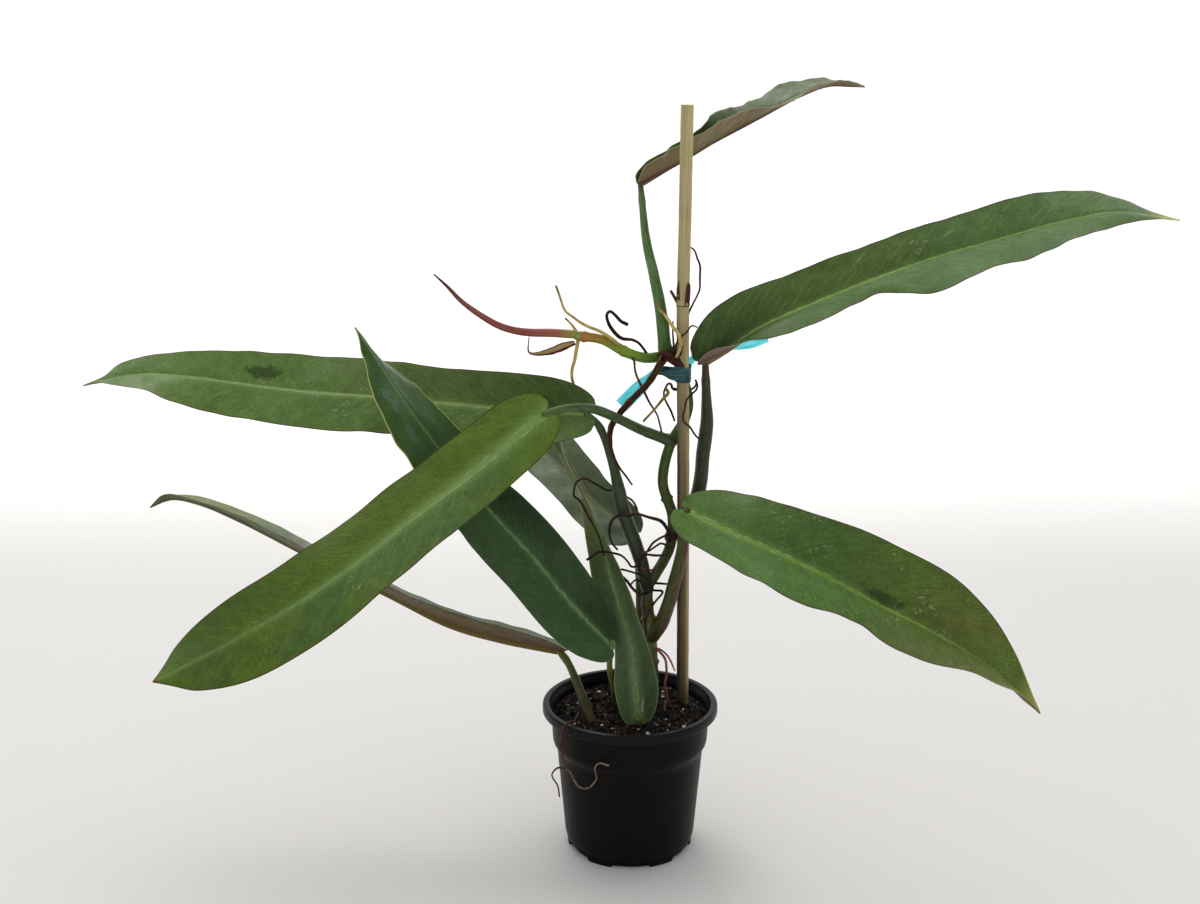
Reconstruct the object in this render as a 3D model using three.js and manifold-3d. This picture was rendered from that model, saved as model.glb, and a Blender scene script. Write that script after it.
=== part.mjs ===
// Potted bicolor philodendron: a climbing aroid tied to a bamboo cane, in a round nursery pot.
// Millimetres, +Z up. The origin is on the pot's axis, at the level that the pot stands on.
// X runs along the widest spread of the leaves, and the plant's front faces -Y.

import * as THREE from 'three';
import { mergeVertices } from 'three/addons/utils/BufferGeometryUtils.js';
import Module from 'manifold-3d';

const wasm = await Module();
wasm.setup();

// Pot
const POT_HEIGHT = 104;
const RIM_RADIUS = 60;
const LIP_HEIGHT = 6;
const COLLAR_TOP_RADIUS = 54;
const COLLAR_BOTTOM_RADIUS = 53;
const COLLAR_BOTTOM = 75;
const BODY_TOP_RADIUS = 50.2;
const BODY_BOTTOM_RADIUS = 44.2;
const FOOT_RADIUS = 43;
const FOOT_HEIGHT = 3;
const WALL = 1.2;
const POT_SIDES = 36;
const FOOT_COUNT = 6;
const ARCH_WIDTH = 24;
const BOSS_RADIUS = 8;

// Soil
const SOIL_TOP = 96;
const SOIL_RELIEF = 1.4;
const SOIL_RINGS = [40, 28, 16, 7, 0];

// Cane
const CANE_RADIUS = 4.15;
const CANE = [[37.4, 17.6, 42], [36.6, 18.4, 155], [35.4, 19.2, 270], [33.9, 19.8, 371],
  [34.5, 20, 430], [35, 20, 503]];
const CANE_STEPS = 14;
const CANE_JOINT = 10 / 14;

// Leaves
const BLADE_THICKNESS = 0.9;
const RIB_THICKNESS = 2.6;

// Room left between pieces that touch
const GAP = 0.3;

// Rows along a blade, from its base at 0 to its tip at 1, and columns across it
const ROWS =
  [0, .012, .03, .06, .1, .16, .23, .31, .39, .47, .55, .63, .7, .77, .83, .88, .92, .955, .98, 1];
const COLUMNS = [-1, -.55, -.09, 0, .09, .55, 1];

// Stations along a blade at which its six half widths are given, with the drawn-out tip after them
const STATIONS = [0, .1, .3, .5, .7, .84, .93, .975, 1];
const TIP_HALF_WIDTH = 0.4;
const BASE_ROUNDING = 0.09;

const COLOURS = {
  pot: [0x151313, 0.45],
  soil: [0x1a1614, 0.98],
  cane: [0x9c8e62, 0.6],
  tie: [0x2fb6c0, 0.4],
  stem: [0x4b5a2a, 0.6],
  brownScale: [0x5a3a24, 0.8],
  shoot: [0x86862c, 0.5],
  spear: [0x7a3329, 0.45],
  root: [0x4a2e26, 0.85],
  leaf: [0x3b5a2b, 0.45],
  oldLeaf: [0x4f6249, 0.55],
  youngLeaf: [0x6b5d48, 0.5],
  stalk: [0x33452e, 0.5],
  oliveStalk: [0x5b5524, 0.55],
};

// Leaves: rib runs from the stalk's end to the tip, and left and right are the half widths.
// roll turns the blade about its rib and fold lifts both halves, in degrees, at even steps.
const LEAVES = {
  leaf_1: {
    colour: 'leaf',
    rib: [[-56, -22, 311], [-83, -40, 292], [-111, -58, 273], [-138, -75, 256], [-159, -88, 241],
      [-193, -108, 220], [-228, -128, 203], [-280, -152, 181]],
    left: [21, 25, 28, 28, 26, 18], right: [25, 27, 28, 25, 23, 17],
    roll: [64, 40, 32, 52, 26], fold: [-2, 0, 2, -16], lobe: 7,
    stalk: [[28, 26, 281], [8, 20, 290], [-9, 8, 301], [-25, -4, 310], [-40, -14, 313],
      [-51, -20, 312], [-56, -22, 311]],
    girth: [3.9, 3.6, 3.5, 3.4, 3.2, 2.6, 2.2], stalkColour: 'stalk',
  },
  leaf_2: {
    colour: 'leaf',
    rib: [[-29, 14, 302], [-94, 24, 305], [-129, 30, 307], [-174, 36, 310], [-227, 41, 313],
      [-264, 44, 317], [-294, 45, 321], [-325, 44, 324], [-344, 42, 323], [-360, 40, 320],
      [-371, 39, 317]],
    left: [27, 25, 28, 25, 23, 15], right: [24, 25, 30, 24, 19, 14],
    roll: [66, 60, 47, 50, 0], fold: [28, 0, 0, 10], lobe: 6,
    stalk: [[12, 14, 180], [7, 14, 201], [-4, 13, 233], [-11, 12, 265], [-17, 12, 285],
      [-22, 12, 296], [-29, 14, 302]],
    girth: [4.2, 4.8, 5.2, 5, 3.6, 2.8, 2.4], stalkColour: 'stalk',
  },
  leaf_3: {
    colour: 'leaf',
    rib: [[-13, -28, 155], [-40, -23, 183], [-63, -21, 212], [-95, -18, 248], [-124, -15, 285],
      [-149, -12, 321], [-167, -10, 350], [-177, -9, 365]],
    left: [24, 25, 26, 28, 22, 11], right: [21, 23, 23, 28, 23, 9],
    roll: [24, 80, 42, 20, 0], fold: [-8, 3, -3, -20], lobe: 6,
    stalk: [[-8, 11, 80], [-9, 11, 95], [-11, -8, 115], [-14, -20, 135], [-14, -26, 148],
      [-13, -28, 155]],
    girth: [2.6, 2.6, 2.4, 2.2, 2.1, 2], stalkColour: 'stalk',
  },
  leaf_4: {
    colour: 'leaf',
    rib: [[-49, 5, 139], [-89, 12, 144.5], [-124, 20, 152], [-167, 30, 170.5], [-230, 42, 199],
      [-272, 50, 218.5], [-301, 55, 229.5], [-322, 58, 232.5], [-338, 60, 225]],
    left: [24, 23, 25, 27, 19, 12], right: [23, 22, 26, 26, 19, 12],
    roll: [-20, -21, -22, -19, -15], fold: [17, 26, 15, 12, 12, 9], lobe: 6,
    stalk: [[-24, -17, 80], [-27, -16, 96], [-32, -10, 109], [-38, -3, 123], [-43, 2, 132],
      [-49, 5, 139]],
    girth: [4, 4, 3.6, 3.1, 2.7, 2.4], stalkColour: 'oliveStalk',
  },
  leaf_5: {
    colour: 'leaf',
    rib: [[5, -20, 99], [3, -15, 118], [0, -8, 144], [-8, 2, 176], [-19, 12, 212], [-31, 20, 245],
      [-45, 30, 270], [-53, 36, 290], [-58, 42, 307]],
    left: [16, 15, 13, 12, 6, 5], right: [16, 10, 12, 13, 10, 6],
    roll: [0, 8, 94, 132, 75], fold: [6, 26, 12, 18], lobe: 0,
    stalk: [[4, -12, 78], [5, -16, 90], [5, -20, 99]],
    girth: [3, 3, 2.6], stalkColour: 'oliveStalk',
  },
  leaf_6: {
    colour: 'oldLeaf',
    rib: [[3, 46, 211], [-21, 78, 221], [-41, 106, 234], [-62, 136, 247], [-86, 170, 259],
      [-111, 205, 267]],
    left: [21, 20, 22, 25, 20, 10], right: [17, 22, 23, 25, 20, 10],
    roll: [52, 54, 45, 42, 45], fold: [17, 28, 22, 3], lobe: 6,
    stalk: [[7, 22, 80], [7, 24, 103], [7, 26, 139], [7, 28, 167], [6, 34, 191], [3, 46, 211]],
    girth: [3.6, 3.6, 3.4, 3.1, 2.7, 2.3], stalkColour: 'oliveStalk',
  },
  leaf_7: {
    colour: 'youngLeaf',
    rib: [[6, 44, 452], [19, 58, 458], [38, 78, 467], [62, 100, 479], [92, 125, 493],
      [123, 150, 507], [147, 168, 514], [175, 186, 512]],
    left: [12, 17, 16, 22, 12, 7], right: [15, 23, 16, 12, 12, 5],
    roll: [-3, -32, 0, 0, 8], fold: [76, 70, 14, 26], lobe: 3,
    stalk: [[23, 27, 341], [20, 29, 368], [15, 32, 393], [10, 36, 415], [6, 44, 452]],
    girth: [4.4, 4.2, 3.6, 2.8, 1.9], stalkColour: 'stalk',
  },
  leaf_8: {
    colour: 'leaf',
    rib: [[50, 32, 334], [61, 34, 340], [88, 40, 357], [130, 48, 374.5], [172, 55, 390],
      [213, 61, 403], [251, 66, 413], [292, 70, 424], [334, 73, 431], [376, 76, 425]],
    left: [28, 26.5, 26, 27, 26, 12], right: [28, 16, 32.5, 28, 19, 13],
    roll: [-24, -37, -39, -35, -3], fold: [58, 20, 10, 12.5, 14, 4, -3], lobe: 6,
    stalk: [[28, 25, 214], [39, 34, 225], [47, 36, 243], [50, 36, 272], [52, 36, 291],
      [51, 34, 315], [50, 32, 334]],
    girth: [4.6, 4.8, 4.9, 4.8, 4.6, 3.2, 2.3], stalkColour: 'stalk',
  },
  leaf_9: {
    colour: 'leaf',
    rib: [[37, 0, 240], [66, -14, 229], [99, -30, 218], [131, -46, 206], [154, -58, 196],
      [185, -74, 184], [215, -90, 170], [232, -100, 158], [249, -110, 143]],
    left: [34.5, 34.5, 38.5, 36, 23, 11], right: [28.5, 36.5, 22, 29, 20, 11],
    roll: [-20, -30, -50, -30, 12], fold: [0, 20, 20, 20], lobe: 7,
    stalk: [[14, 12, 145], [20, 8, 155], [26, 6, 172], [30, 5, 189], [34, 4, 207], [36, 3, 225],
      [37, 0, 240]],
    girth: [4.6, 5, 4.8, 4.5, 4.3, 3.6, 2.6], stalkColour: 'oliveStalk',
  },
};

// Main stem, from inside the soil to the top joint, with its radius at each point
const STEM = [[16, 11, 62], [15, 12, 96], [14, 12, 145], [12, 14, 181], [17, 17, 189],
  [27, 24, 206], [29, 25, 228], [22, 24, 253], [27, 26, 279], [36, 30, 294], [38.8, 30, 304],
  [38.2, 30, 312], [36, 30, 321], [35, 30, 334], [31, 29.4, 341], [23, 27, 341]];
const STEM_GIRTH = [5.2, 5.2, 5.2, 5, 4.4, 4.2, 3.7, 3.6, 3.6, 3.5, 3.5, 3.5, 3.5, 3.8, 4.2];

// Rings where old leaves stood: share of the stem's length, and how far each stands proud
const STEM_RINGS = [[0.14, 0.7], [0.17, 0.7], [0.22, 1.2], [0.325, 1.1], [0.36, 0.8], [0.62, 1], [0.96, 0.9]];

// Thin dark roots on the main stem: route, and radius at its start and end
const STEM_ROOTS = [
  [[[35, 28, 317], [30, 25, 317], [27.5, 20, 319], [27, 17, 320.6], [26, 16, 322.6],
    [24.6, 15.5, 322.8], [23.2, 15, 321], [21.8, 15, 317.3], [21.9, 15, 313.9], [23.7, 15, 309.9],
    [26.6, 16, 304.2], [29, 16, 297.6]], 1, .6],
  [[[23, 15, 319.5], [24.6, 14.6, 317], [21.2, 14, 312.8], [16.3, 13, 307], [10.4, 12.5, 300.3],
    [8.6, 12, 298.3]], 1, .9],
  [[[27, 26, 340], [28.5, 19, 339], [30.6, 14, 342.8], [32.2, 12.5, 348.2], [31.8, 12, 352.7],
    [30.3, 12, 357.2], [26.5, 13, 362.2], [23.8, 14, 366.3], [20.8, 15, 369.9], [18.2, 15, 372.7],
    [17.2, 15, 376.8]], 1, 1.2],
  [[[29, 28, 339], [30, 27, 346], [33, 28, 353], [37, 28, 365], [41, 26, 375], [43, 25, 379],
    [45, 25, 384], [45, 25, 392], [45, 24, 400], [43, 25, 405], [41, 26, 410],
    [38, 27, 412]], .8, .6],
  [[[27, 26, 339], [27.5, 18, 341], [28, 14, 345], [29.6, 13, 350.5], [31.8, 12.5, 354],
    [36.2, 12.6, 357.9], [38, 13.5, 360.5], [39.7, 15, 361.8], [43.2, 18, 360.2]], .9, .6],
  [[[28.2, 14, 345], [27.6, 15, 352], [27.2, 16, 358], [27.4, 18, 364]], .8, .6],
  [[[38.5, 30, 315], [42.5, 27, 318], [43.6, 21, 322.5], [42.6, 15, 325.2], [43.6, 12.8, 322.6],
    [43.3, 12.5, 319.9], [40, 12.5, 316.2], [36.8, 12.5, 312.4], [35.7, 12.5, 307],
    [34.5, 12.6, 301.7], [35.2, 12.8, 297.4], [38.6, 14, 294.4], [42.6, 18, 288],
    [46.8, 24, 282.4]], .8, .7],
  [[[27, 24, 210], [25, 13, 223], [21, 10, 229], [13, 7, 233], [4, 5, 236], [-2, 4, 235],
    [-7, 4, 236], [-12, 5, 232], [-14, 6, 226], [-14, 5, 220], [-12, 5, 215],
    [-9, 6, 211]], 1.2, .8],
  [[[7, 5, 200], [1, 5, 199], [-2, 4, 203], [-6, 1, 208], [-11, -3, 211], [-17, -6, 213],
    [-22, -7, 213], [-26, -7, 210], [-29, -7, 208]], .7, .9],
  [[[28, 24, 212], [25, 12, 219], [20, 9, 218], [15, 7, 215], [12, 5, 211], [8, 5, 205],
    [5, 5, 199]], .9, .6],
  [[[27, 24, 206], [25, 14, 211], [20, 9, 214], [16, 7, 212], [12, 5, 210], [8, 5, 209]], .9, .7],
  [[[25, 23, 203], [23, 12, 205], [17, 8, 206], [8, 5, 207], [6, 5, 202], [6, 5, 197]], .9, .6],
  [[[21, 20, 197], [18, 10, 196], [13, 7, 196], [8, 5, 198]], .9, .7],
  [[[14, 15, 184], [25, 10, 185]], 1, .7],
  [[[15, 12, 182], [13, 6, 187], [11, 5, 191], [2, 5, 195], [-6, 5, 197]], 1, .7],
  [[[13, 12, 179], [9, 6, 179], [4, 5, 181], [0, 6, 185], [-2, 6, 188], [-6, 6, 192]], 1.3, .9],
  [[[14, 10, 180], [10, 4, 186], [4, 4, 190], [0, 5, 186]], .9, .6],
  [[[16, 14, 179], [22, 8, 180], [17, 5, 174], [12, 4, 166], [10, 4, 158], [11, 4, 151]], .8, .6],
  [[[14, 12, 139], [20, 10, 138], [24, 10, 135], [28, 11, 129], [31, 10, 122]], .8, .5],
  [[[4, 5, 236], [4, 11, 238], [1, 18, 242], [-6, 21, 245], [-11, 20, 248], [-17, 16, 250],
    [-22, 12, 254], [-27, 9, 258], [-31, 7, 260], [-36, 6, 258], [-38, 5, 253], [-38, 4, 249],
    [-34, 3, 246], [-29, 0, 237], [-23, -4, 227], [-19, -6, 216], [-18, -7, 211]], .8, .7],
];

// The one stem root that reaches the soil
const SOIL_ROOT = [[[14, 12, 139], [19, 8, 138], [24, 7, 132], [25, 6, 126], [25, 4, 120],
  [24, 2, 115], [26, 1, 106], [24, 0, 100], [25, -3, 94]], 1, .8];

// New shoot, its roots, the red spear and the dry sheath under it
const SHOOT = [[20, 26, 339], [9, 22, 339], [-3, 20, 343], [-19, 17, 352], [-35, 15, 355]];
const SHOOT_GIRTH = [3.6, 3.5, 3.4, 3.2, 3.3];
const SHOOT_ROOTS = [
  [[[11, 23, 341], [5, 22, 349], [1, 22, 351], [-6, 22, 352], [-10, 22, 355], [-15, 23, 362],
    [-16, 23, 368], [-14, 23, 370], [-11, 22, 368], [-7, 20, 364], [-3, 19, 362]], 1, 1.2],
  [[[-6, 19, 346], [-18, 14, 357], [-28, 14, 361], [-37, 12, 367], [-43, 10, 372], [-46, 8, 380],
    [-49, 6, 389]], 1.3, .7],
  [[[-35, 15, 354], [-36, 12, 346], [-37, 11, 340], [-39, 11, 334], [-39, 11, 328],
    [-38, 11, 324]], 1.3, 1],
  [[[-34, 15, 355], [-40, 12, 364], [-43, 11, 367]], 1, .7],
  [[[0, 20, 342], [2, 16, 337], [2.5, 15.3, 332.5], [5.1, 15.3, 324.7], [8.9, 15.3, 317.1],
    [12.8, 15.3, 309.2], [17.7, 15, 301], [19.3, 14.5, 295.5], [20.4, 14, 290.3]], 1, .7],
];
const SPEAR = [[-38, 15, 356], [-51, 14, 357], [-70, 12, 358], [-85, 10, 362], [-97, 8, 369],
  [-110, 6, 379], [-119, 4, 389], [-127, 2, 397]];
const SPEAR_GIRTH = [2.9, 2.8, 2.6, 2.4, 2.1, 1.7, 1.2, .5];
const BUD_SHEATH = [[-37, 13, 351], [-44, 12, 349], [-52, 11, 346], [-62, 10, 344], [-67, 10, 345],
  [-67, 11, 355]];
const BUD_SHEATH_GIRTH = [1.6, 1.9, 1.4, .8, .5, .4];

// Long dry scale leaf at the top joint, and the root that climbs over the pot's lip
const LONG_SCALE = [[23, 22.5, 341], [21.5, 17, 339.5], [18.6, 13.8, 335.5], [15.7, 12.8, 330.6],
  [9.5, 12, 322], [4.2, 11.6, 316.7], [-1, 12.4, 311], [-8, 15, 302], [-12, 13, 297], [-14, 8, 292],
  [-14, 5, 287], [-13, 5, 280], [-9, 6, 270], [-3, 8, 261], [1, 9, 255]];
const LONG_SCALE_GIRTH = [3, 2.6, 2.2, 2, 2, 2.1, 2, 1.9, 1.6, 1.1, 0.8, 0.7, 0.6];
const RIM_ROOT = [[-34, -2, 91], [-35, -8, 98], [-37, -24, 101], [-38, -37, 105], [-41, -42, 106.5],
  [-44.5, -45, 105], [-46, -45.5, 96], [-46, -44, 86], [-44, -43, 77], [-43, -42, 73]];
const RIM_ROOT_TWIGS = [
  [[[-43, -42, 73], [-49, -36, 71], [-53, -33, 64], [-49, -34, 57], [-48, -34, 49]], .7, .5],
  [[[-43, -42, 73], [-40, -46, 72], [-35, -47, 63], [-29, -48, 62], [-23, -50, 70], [-24, -51, 78],
    [-21, -52, 82], [-15, -53, 81]], .7, .5],
];

// Tie tape: a band round cane and stem, and two loose tails given by route and half widths
const BAND_LOW = 323.5;
const BAND_HIGH = 333;
const BAND_THICKNESS = 0.8;
const BAND_ROOM = 0.45;
const TAPE_THICKNESS = 0.7;
const TAIL_LEFT = [[35.5, 14.2, 330], [30.5, 14.6, 329.6], [26.4, 16, 329.9], [21.8, 17.5, 331],
  [16.7, 18, 330.5], [9.3, 18, 323.1], [1.3, 17.5, 315.4], [-6.4, 17, 307.7]];
const TAIL_LEFT_HALF = [4.4, 4.6, 3.2, 2.6, 4.2, 5, 5.1, 5.1];
const TAIL_RIGHT = [[38, 34.6, 330.5], [41, 36.6, 334.5], [44.8, 38, 337.9], [50.3, 41, 340.1],
  [62.1, 46, 342], [78.2, 51, 343], [94.3, 56, 345.7]];
const TAIL_RIGHT_HALF = [2.6, 2.6, 2.6, 2.6, 3.2, 3.6, 2.4];

const clamp01 = (x) => Math.min(1, Math.max(0, x));
const vectors = (points) => points.map((p) => new THREE.Vector3(...p));
const radians = THREE.MathUtils.degToRad;

// Smooth curve through values at stations, used for widths and angles along a part
function smoothAt(x, stations, values) {
  const last = stations.length - 1;
  const slope = (i) => {
    const low = Math.max(0, i - 1);
    const high = Math.min(last, i + 1);
    return (values[high] - values[low]) / (stations[high] - stations[low]);
  };
  let i = 0;
  while (i < last - 1 && x >= stations[i + 1]) i += 1;
  const step = stations[i + 1] - stations[i];
  const t = (x - stations[i]) / step;
  const t2 = t * t;
  const t3 = t2 * t;
  return (2 * t3 - 3 * t2 + 1) * values[i] + (t3 - 2 * t2 + t) * step * slope(i)
    + (3 * t2 - 2 * t3) * values[i + 1] + (t3 - t2) * step * slope(i + 1);
}

const evenStations = (values) => values.map((_, i) => i / (values.length - 1));
const evenly = (x, values) => smoothAt(x, evenStations(values), values);

function routeOf(points) {
  const curve = new THREE.CatmullRomCurve3(vectors(points));
  curve.arcLengthDivisions = 400;
  return curve;
}

// Closed body from rings of equal count, flat-capped at both ends
function skin(rings) {
  const count = rings[0].length;
  const positions = rings.flat().flatMap((p) => [p.x, p.y, p.z]);
  const faces = [];
  const at = (row, column) => row * count + (column % count);
  for (let row = 0; row < rings.length - 1; row += 1) {
    for (let c = 0; c < count; c += 1) {
      faces.push(at(row, c), at(row, c + 1), at(row + 1, c + 1));
      faces.push(at(row, c), at(row + 1, c + 1), at(row + 1, c));
    }
  }
  const end = rings.length - 1;
  for (let c = 1; c < count - 1; c += 1) {
    faces.push(at(0, 0), at(0, c + 1), at(0, c));
    faces.push(at(end, 0), at(end, c), at(end, c + 1));
  }
  const geometry = new THREE.BufferGeometry();
  geometry.setAttribute('position', new THREE.Float32BufferAttribute(positions, 3));
  geometry.setIndex(faces);
  return geometry;
}

// Round limb along a route, with its radius given at even steps
function limb(points, girth, { sides = 7, steps = 2 * points.length, grow = 0, rings = [] } = {}) {
  const curve = routeOf(points);
  const frames = curve.computeFrenetFrames(steps, false);
  const sections = [];
  for (let i = 0; i <= steps; i += 1) {
    const share = i / steps;
    const centre = curve.getPointAt(share);
    const proud = rings.reduce((most, [place, height]) => {
      const near = 1 - Math.abs(share - place) * steps;
      return Math.max(most, height * clamp01(near));
    }, 0);
    const radius = evenly(share, girth) + proud + grow;
    const section = [];
    for (let k = 0; k < sides; k += 1) {
      const angle = (2 * Math.PI * k) / sides;
      section.push(centre.clone()
        .addScaledVector(frames.normals[i], radius * Math.cos(angle))
        .addScaledVector(frames.binormals[i], radius * Math.sin(angle)));
    }
    sections.push(section);
  }
  return skin(sections);
}

// Flat tape along a route: half widths at even steps, standing upright in Z
function tape(points, halfWidths, thickness) {
  const curve = routeOf(points);
  const steps = 2 * (points.length - 1);
  const sections = [];
  for (let i = 0; i <= steps; i += 1) {
    const share = i / steps;
    const centre = curve.getPointAt(share);
    const along = curve.getTangentAt(share);
    const out = new THREE.Vector3(along.y, -along.x, 0).normalize();
    const up = new THREE.Vector3().crossVectors(out, along);
    const half = evenly(share, halfWidths);
    const corner = (a, b) => centre.clone()
      .addScaledVector(up, a * half)
      .addScaledVector(out, b * thickness / 2);
    sections.push([corner(-1, -1), corner(1, -1), corner(1, 1), corner(-1, 1)]);
  }
  return skin(sections);
}

function halfWidth(share, widths) {
  const last = widths[widths.length - 1];
  const values = [widths[0] * .92, ...widths, last * .38, TIP_HALF_WIDTH];
  const inside = 1 - Math.min(1, share / BASE_ROUNDING);
  const rounding = (1 - inside ** 2.3) ** (1 / 2.3);
  return smoothAt(share, STATIONS, values) * (.25 + .75 * rounding);
}

// Leaf blade: a thin body round its rib, with both faces split into triangles alike
function blade(leaf, grow = 0) {
  const curve = routeOf(leaf.rib);
  const columnCount = COLUMNS.length;
  const upper = [];
  const lower = [];
  for (const share of ROWS) {
    const centre = curve.getPointAt(share);
    const along = curve.getTangentAt(share);
    const level = new THREE.Vector3(along.y, -along.x, 0).normalize();
    const above = new THREE.Vector3().crossVectors(level, along);
    const roll = radians(evenly(share, leaf.roll));
    const side = level.clone().multiplyScalar(Math.cos(roll)).addScaledVector(above, Math.sin(roll));
    const normal = above.clone().multiplyScalar(Math.cos(roll)).addScaledVector(level, -Math.sin(roll));
    const fold = radians(evenly(share, leaf.fold));
    const back = leaf.lobe * clamp01(1 - share / .1) ** 2;
    for (const column of COLUMNS) {
      const across = Math.abs(column);
      const width = halfWidth(share, column > 0 ? leaf.right : leaf.left) + grow;
      const point = centre.clone()
        .addScaledVector(side, column * width * Math.cos(fold))
        .addScaledVector(normal, across * width * Math.sin(fold))
        .addScaledVector(along, -back * across - (share === 0 ? 2.5 * grow : 0));
      const lean = Math.sign(column) * fold * Math.min(1, width / 6);
      const out = normal.clone().multiplyScalar(Math.cos(lean)).addScaledVector(side, -Math.sin(lean));
      const thickness = column === 0 ? RIB_THICKNESS * (1 - .65 * share) : BLADE_THICKNESS;
      upper.push(point.clone().addScaledVector(out, grow));
      lower.push(point.clone().addScaledVector(out, -thickness - grow));
    }
  }
  const positions = [...upper, ...lower].flatMap((p) => [p.x, p.y, p.z]);
  const faces = [];
  const top = (row, column) => row * columnCount + column;
  const under = (row, column) => upper.length + top(row, column);
  const lastRow = ROWS.length - 1;
  const lastColumn = columnCount - 1;
  const quad = (a, b, c, d) => faces.push(a, b, c, a, c, d);
  for (let row = 0; row < lastRow; row += 1) {
    for (let c = 0; c < lastColumn; c += 1) {
      quad(top(row, c), top(row, c + 1), top(row + 1, c + 1), top(row + 1, c));
      faces.push(under(row, c), under(row + 1, c + 1), under(row, c + 1));
      faces.push(under(row, c), under(row + 1, c), under(row + 1, c + 1));
    }
    quad(top(row, 0), top(row + 1, 0), under(row + 1, 0), under(row, 0));
    const [near, far] = [row, row + 1];
    quad(top(far, lastColumn), top(near, lastColumn), under(near, lastColumn), under(far, lastColumn));
  }
  for (let c = 0; c < lastColumn; c += 1) {
    quad(top(0, c + 1), top(0, c), under(0, c), under(0, c + 1));
    quad(top(lastRow, c), top(lastRow, c + 1), under(lastRow, c + 1), under(lastRow, c));
  }
  const geometry = new THREE.BufferGeometry();
  geometry.setAttribute('position', new THREE.Float32BufferAttribute(positions, 3));
  geometry.setIndex(faces);
  return geometry;
}

// Solids for cutting and joining
function solid(geometry) {
  const bare = geometry.clone();
  bare.deleteAttribute('normal');
  bare.deleteAttribute('uv');
  const merged = mergeVertices(bare, 1e-4);
  return new wasm.Manifold(new wasm.Mesh({
    numProp: 3,
    vertProperties: new Float32Array(merged.attributes.position.array),
    triVerts: new Uint32Array(merged.index.array),
  }));
}

function largest(body) {
  return body.decompose().reduce((best, piece) => (piece.volume() > best.volume() ? piece : best));
}

function geometryOf(body) {
  const mesh = body.getMesh();
  const geometry = new THREE.BufferGeometry();
  geometry.setAttribute('position', new THREE.Float32BufferAttribute(mesh.vertProperties, 3));
  geometry.setIndex([...mesh.triVerts]);
  geometry.computeVertexNormals();
  return geometry;
}

const joined = (bodies) => bodies.reduce((whole, body) => whole.add(body));
const cutBy = (body, cutters) => cutters.reduce((rest, cutter) => rest.subtract(cutter), body);

// Thin root, given by its route and its radius at start and end
function root([points, start, end], grow = 0) {
  return solid(limb(points, [start, end], { sides: 4, steps: points.length + 2, grow }));
}

// Pot: a turned wall with a lip and a stepped collar, arches in its foot and a drain hole between
function makePot() {
  const lipBottom = POT_HEIGHT - LIP_HEIGHT;
  const profile = [
    [0, 0], [BOSS_RADIUS, 0], [BOSS_RADIUS + 1, FOOT_HEIGHT], [FOOT_RADIUS - 6, FOOT_HEIGHT],
    [FOOT_RADIUS - 5, 0], [FOOT_RADIUS, 0], [BODY_BOTTOM_RADIUS, FOOT_HEIGHT],
    [BODY_TOP_RADIUS, COLLAR_BOTTOM - 3], [COLLAR_BOTTOM_RADIUS, COLLAR_BOTTOM],
    [COLLAR_TOP_RADIUS, lipBottom], [RIM_RADIUS - .6, lipBottom], [RIM_RADIUS, lipBottom + 1],
    [RIM_RADIUS, POT_HEIGHT - 1], [RIM_RADIUS - 1, POT_HEIGHT], [RIM_RADIUS - 3.4, POT_HEIGHT],
    [RIM_RADIUS - 5, POT_HEIGHT - 1.2], [COLLAR_TOP_RADIUS - WALL, lipBottom],
    [COLLAR_BOTTOM_RADIUS - WALL, COLLAR_BOTTOM + .4], [BODY_TOP_RADIUS - WALL, COLLAR_BOTTOM - 2.6],
    [BODY_BOTTOM_RADIUS - WALL, FOOT_HEIGHT + WALL], [0, FOOT_HEIGHT + WALL],
  ].map(([radius, height]) => new THREE.Vector2(radius, height));
  const turned = new THREE.LatheGeometry(profile, POT_SIDES);
  turned.rotateX(Math.PI / 2);
  const cutters = [];
  for (let i = 0; i < FOOT_COUNT; i += 1) {
    const arch = new THREE.BoxGeometry(ARCH_WIDTH, 14, 2 * FOOT_HEIGHT);
    arch.translate(0, -FOOT_RADIUS, 0);
    arch.rotateZ((2 * Math.PI * i) / FOOT_COUNT);
    cutters.push(solid(arch));
    const slot = new THREE.CylinderGeometry(3.5, 3.5, 6, 8);
    slot.rotateX(Math.PI / 2);
    slot.translate(0, -FOOT_RADIUS + 12, FOOT_HEIGHT);
    slot.rotateZ((2 * Math.PI * (i + .5)) / FOOT_COUNT);
    cutters.push(solid(slot));
  }
  return cutBy(solid(turned), cutters);
}

// Soil: fills the pot up to a low uneven top
function makeSoil(cutters) {
  const inner = WALL + GAP;
  const profile = [
    [0, FOOT_HEIGHT + inner],
    [BODY_BOTTOM_RADIUS - inner - .2, FOOT_HEIGHT + inner],
    [BODY_TOP_RADIUS - inner - .2, COLLAR_BOTTOM - 2.8],
    [COLLAR_BOTTOM_RADIUS - inner - .4, COLLAR_BOTTOM + .8],
    [COLLAR_TOP_RADIUS - inner - .4, SOIL_TOP - 1],
    ...SOIL_RINGS.map((radius) => [radius, SOIL_TOP]),
  ].map(([radius, height]) => new THREE.Vector2(radius, height));
  const turned = new THREE.LatheGeometry(profile, POT_SIDES);
  turned.rotateX(Math.PI / 2);
  const place = turned.attributes.position;
  for (let i = 0; i < place.count; i += 1) {
    const [x, y, z] = [place.getX(i), place.getY(i), place.getZ(i)];
    const inside = clamp01((44 - Math.hypot(x, y)) / 6);
    const bump = Math.sin(x * .31 + 1.3) * Math.cos(y * .27) + .6 * Math.sin(x * .11 - y * .19);
    if (z > SOIL_TOP - .5) place.setZ(i, z + SOIL_RELIEF * bump * inside);
  }
  return cutBy(solid(turned), cutters);
}

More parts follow.
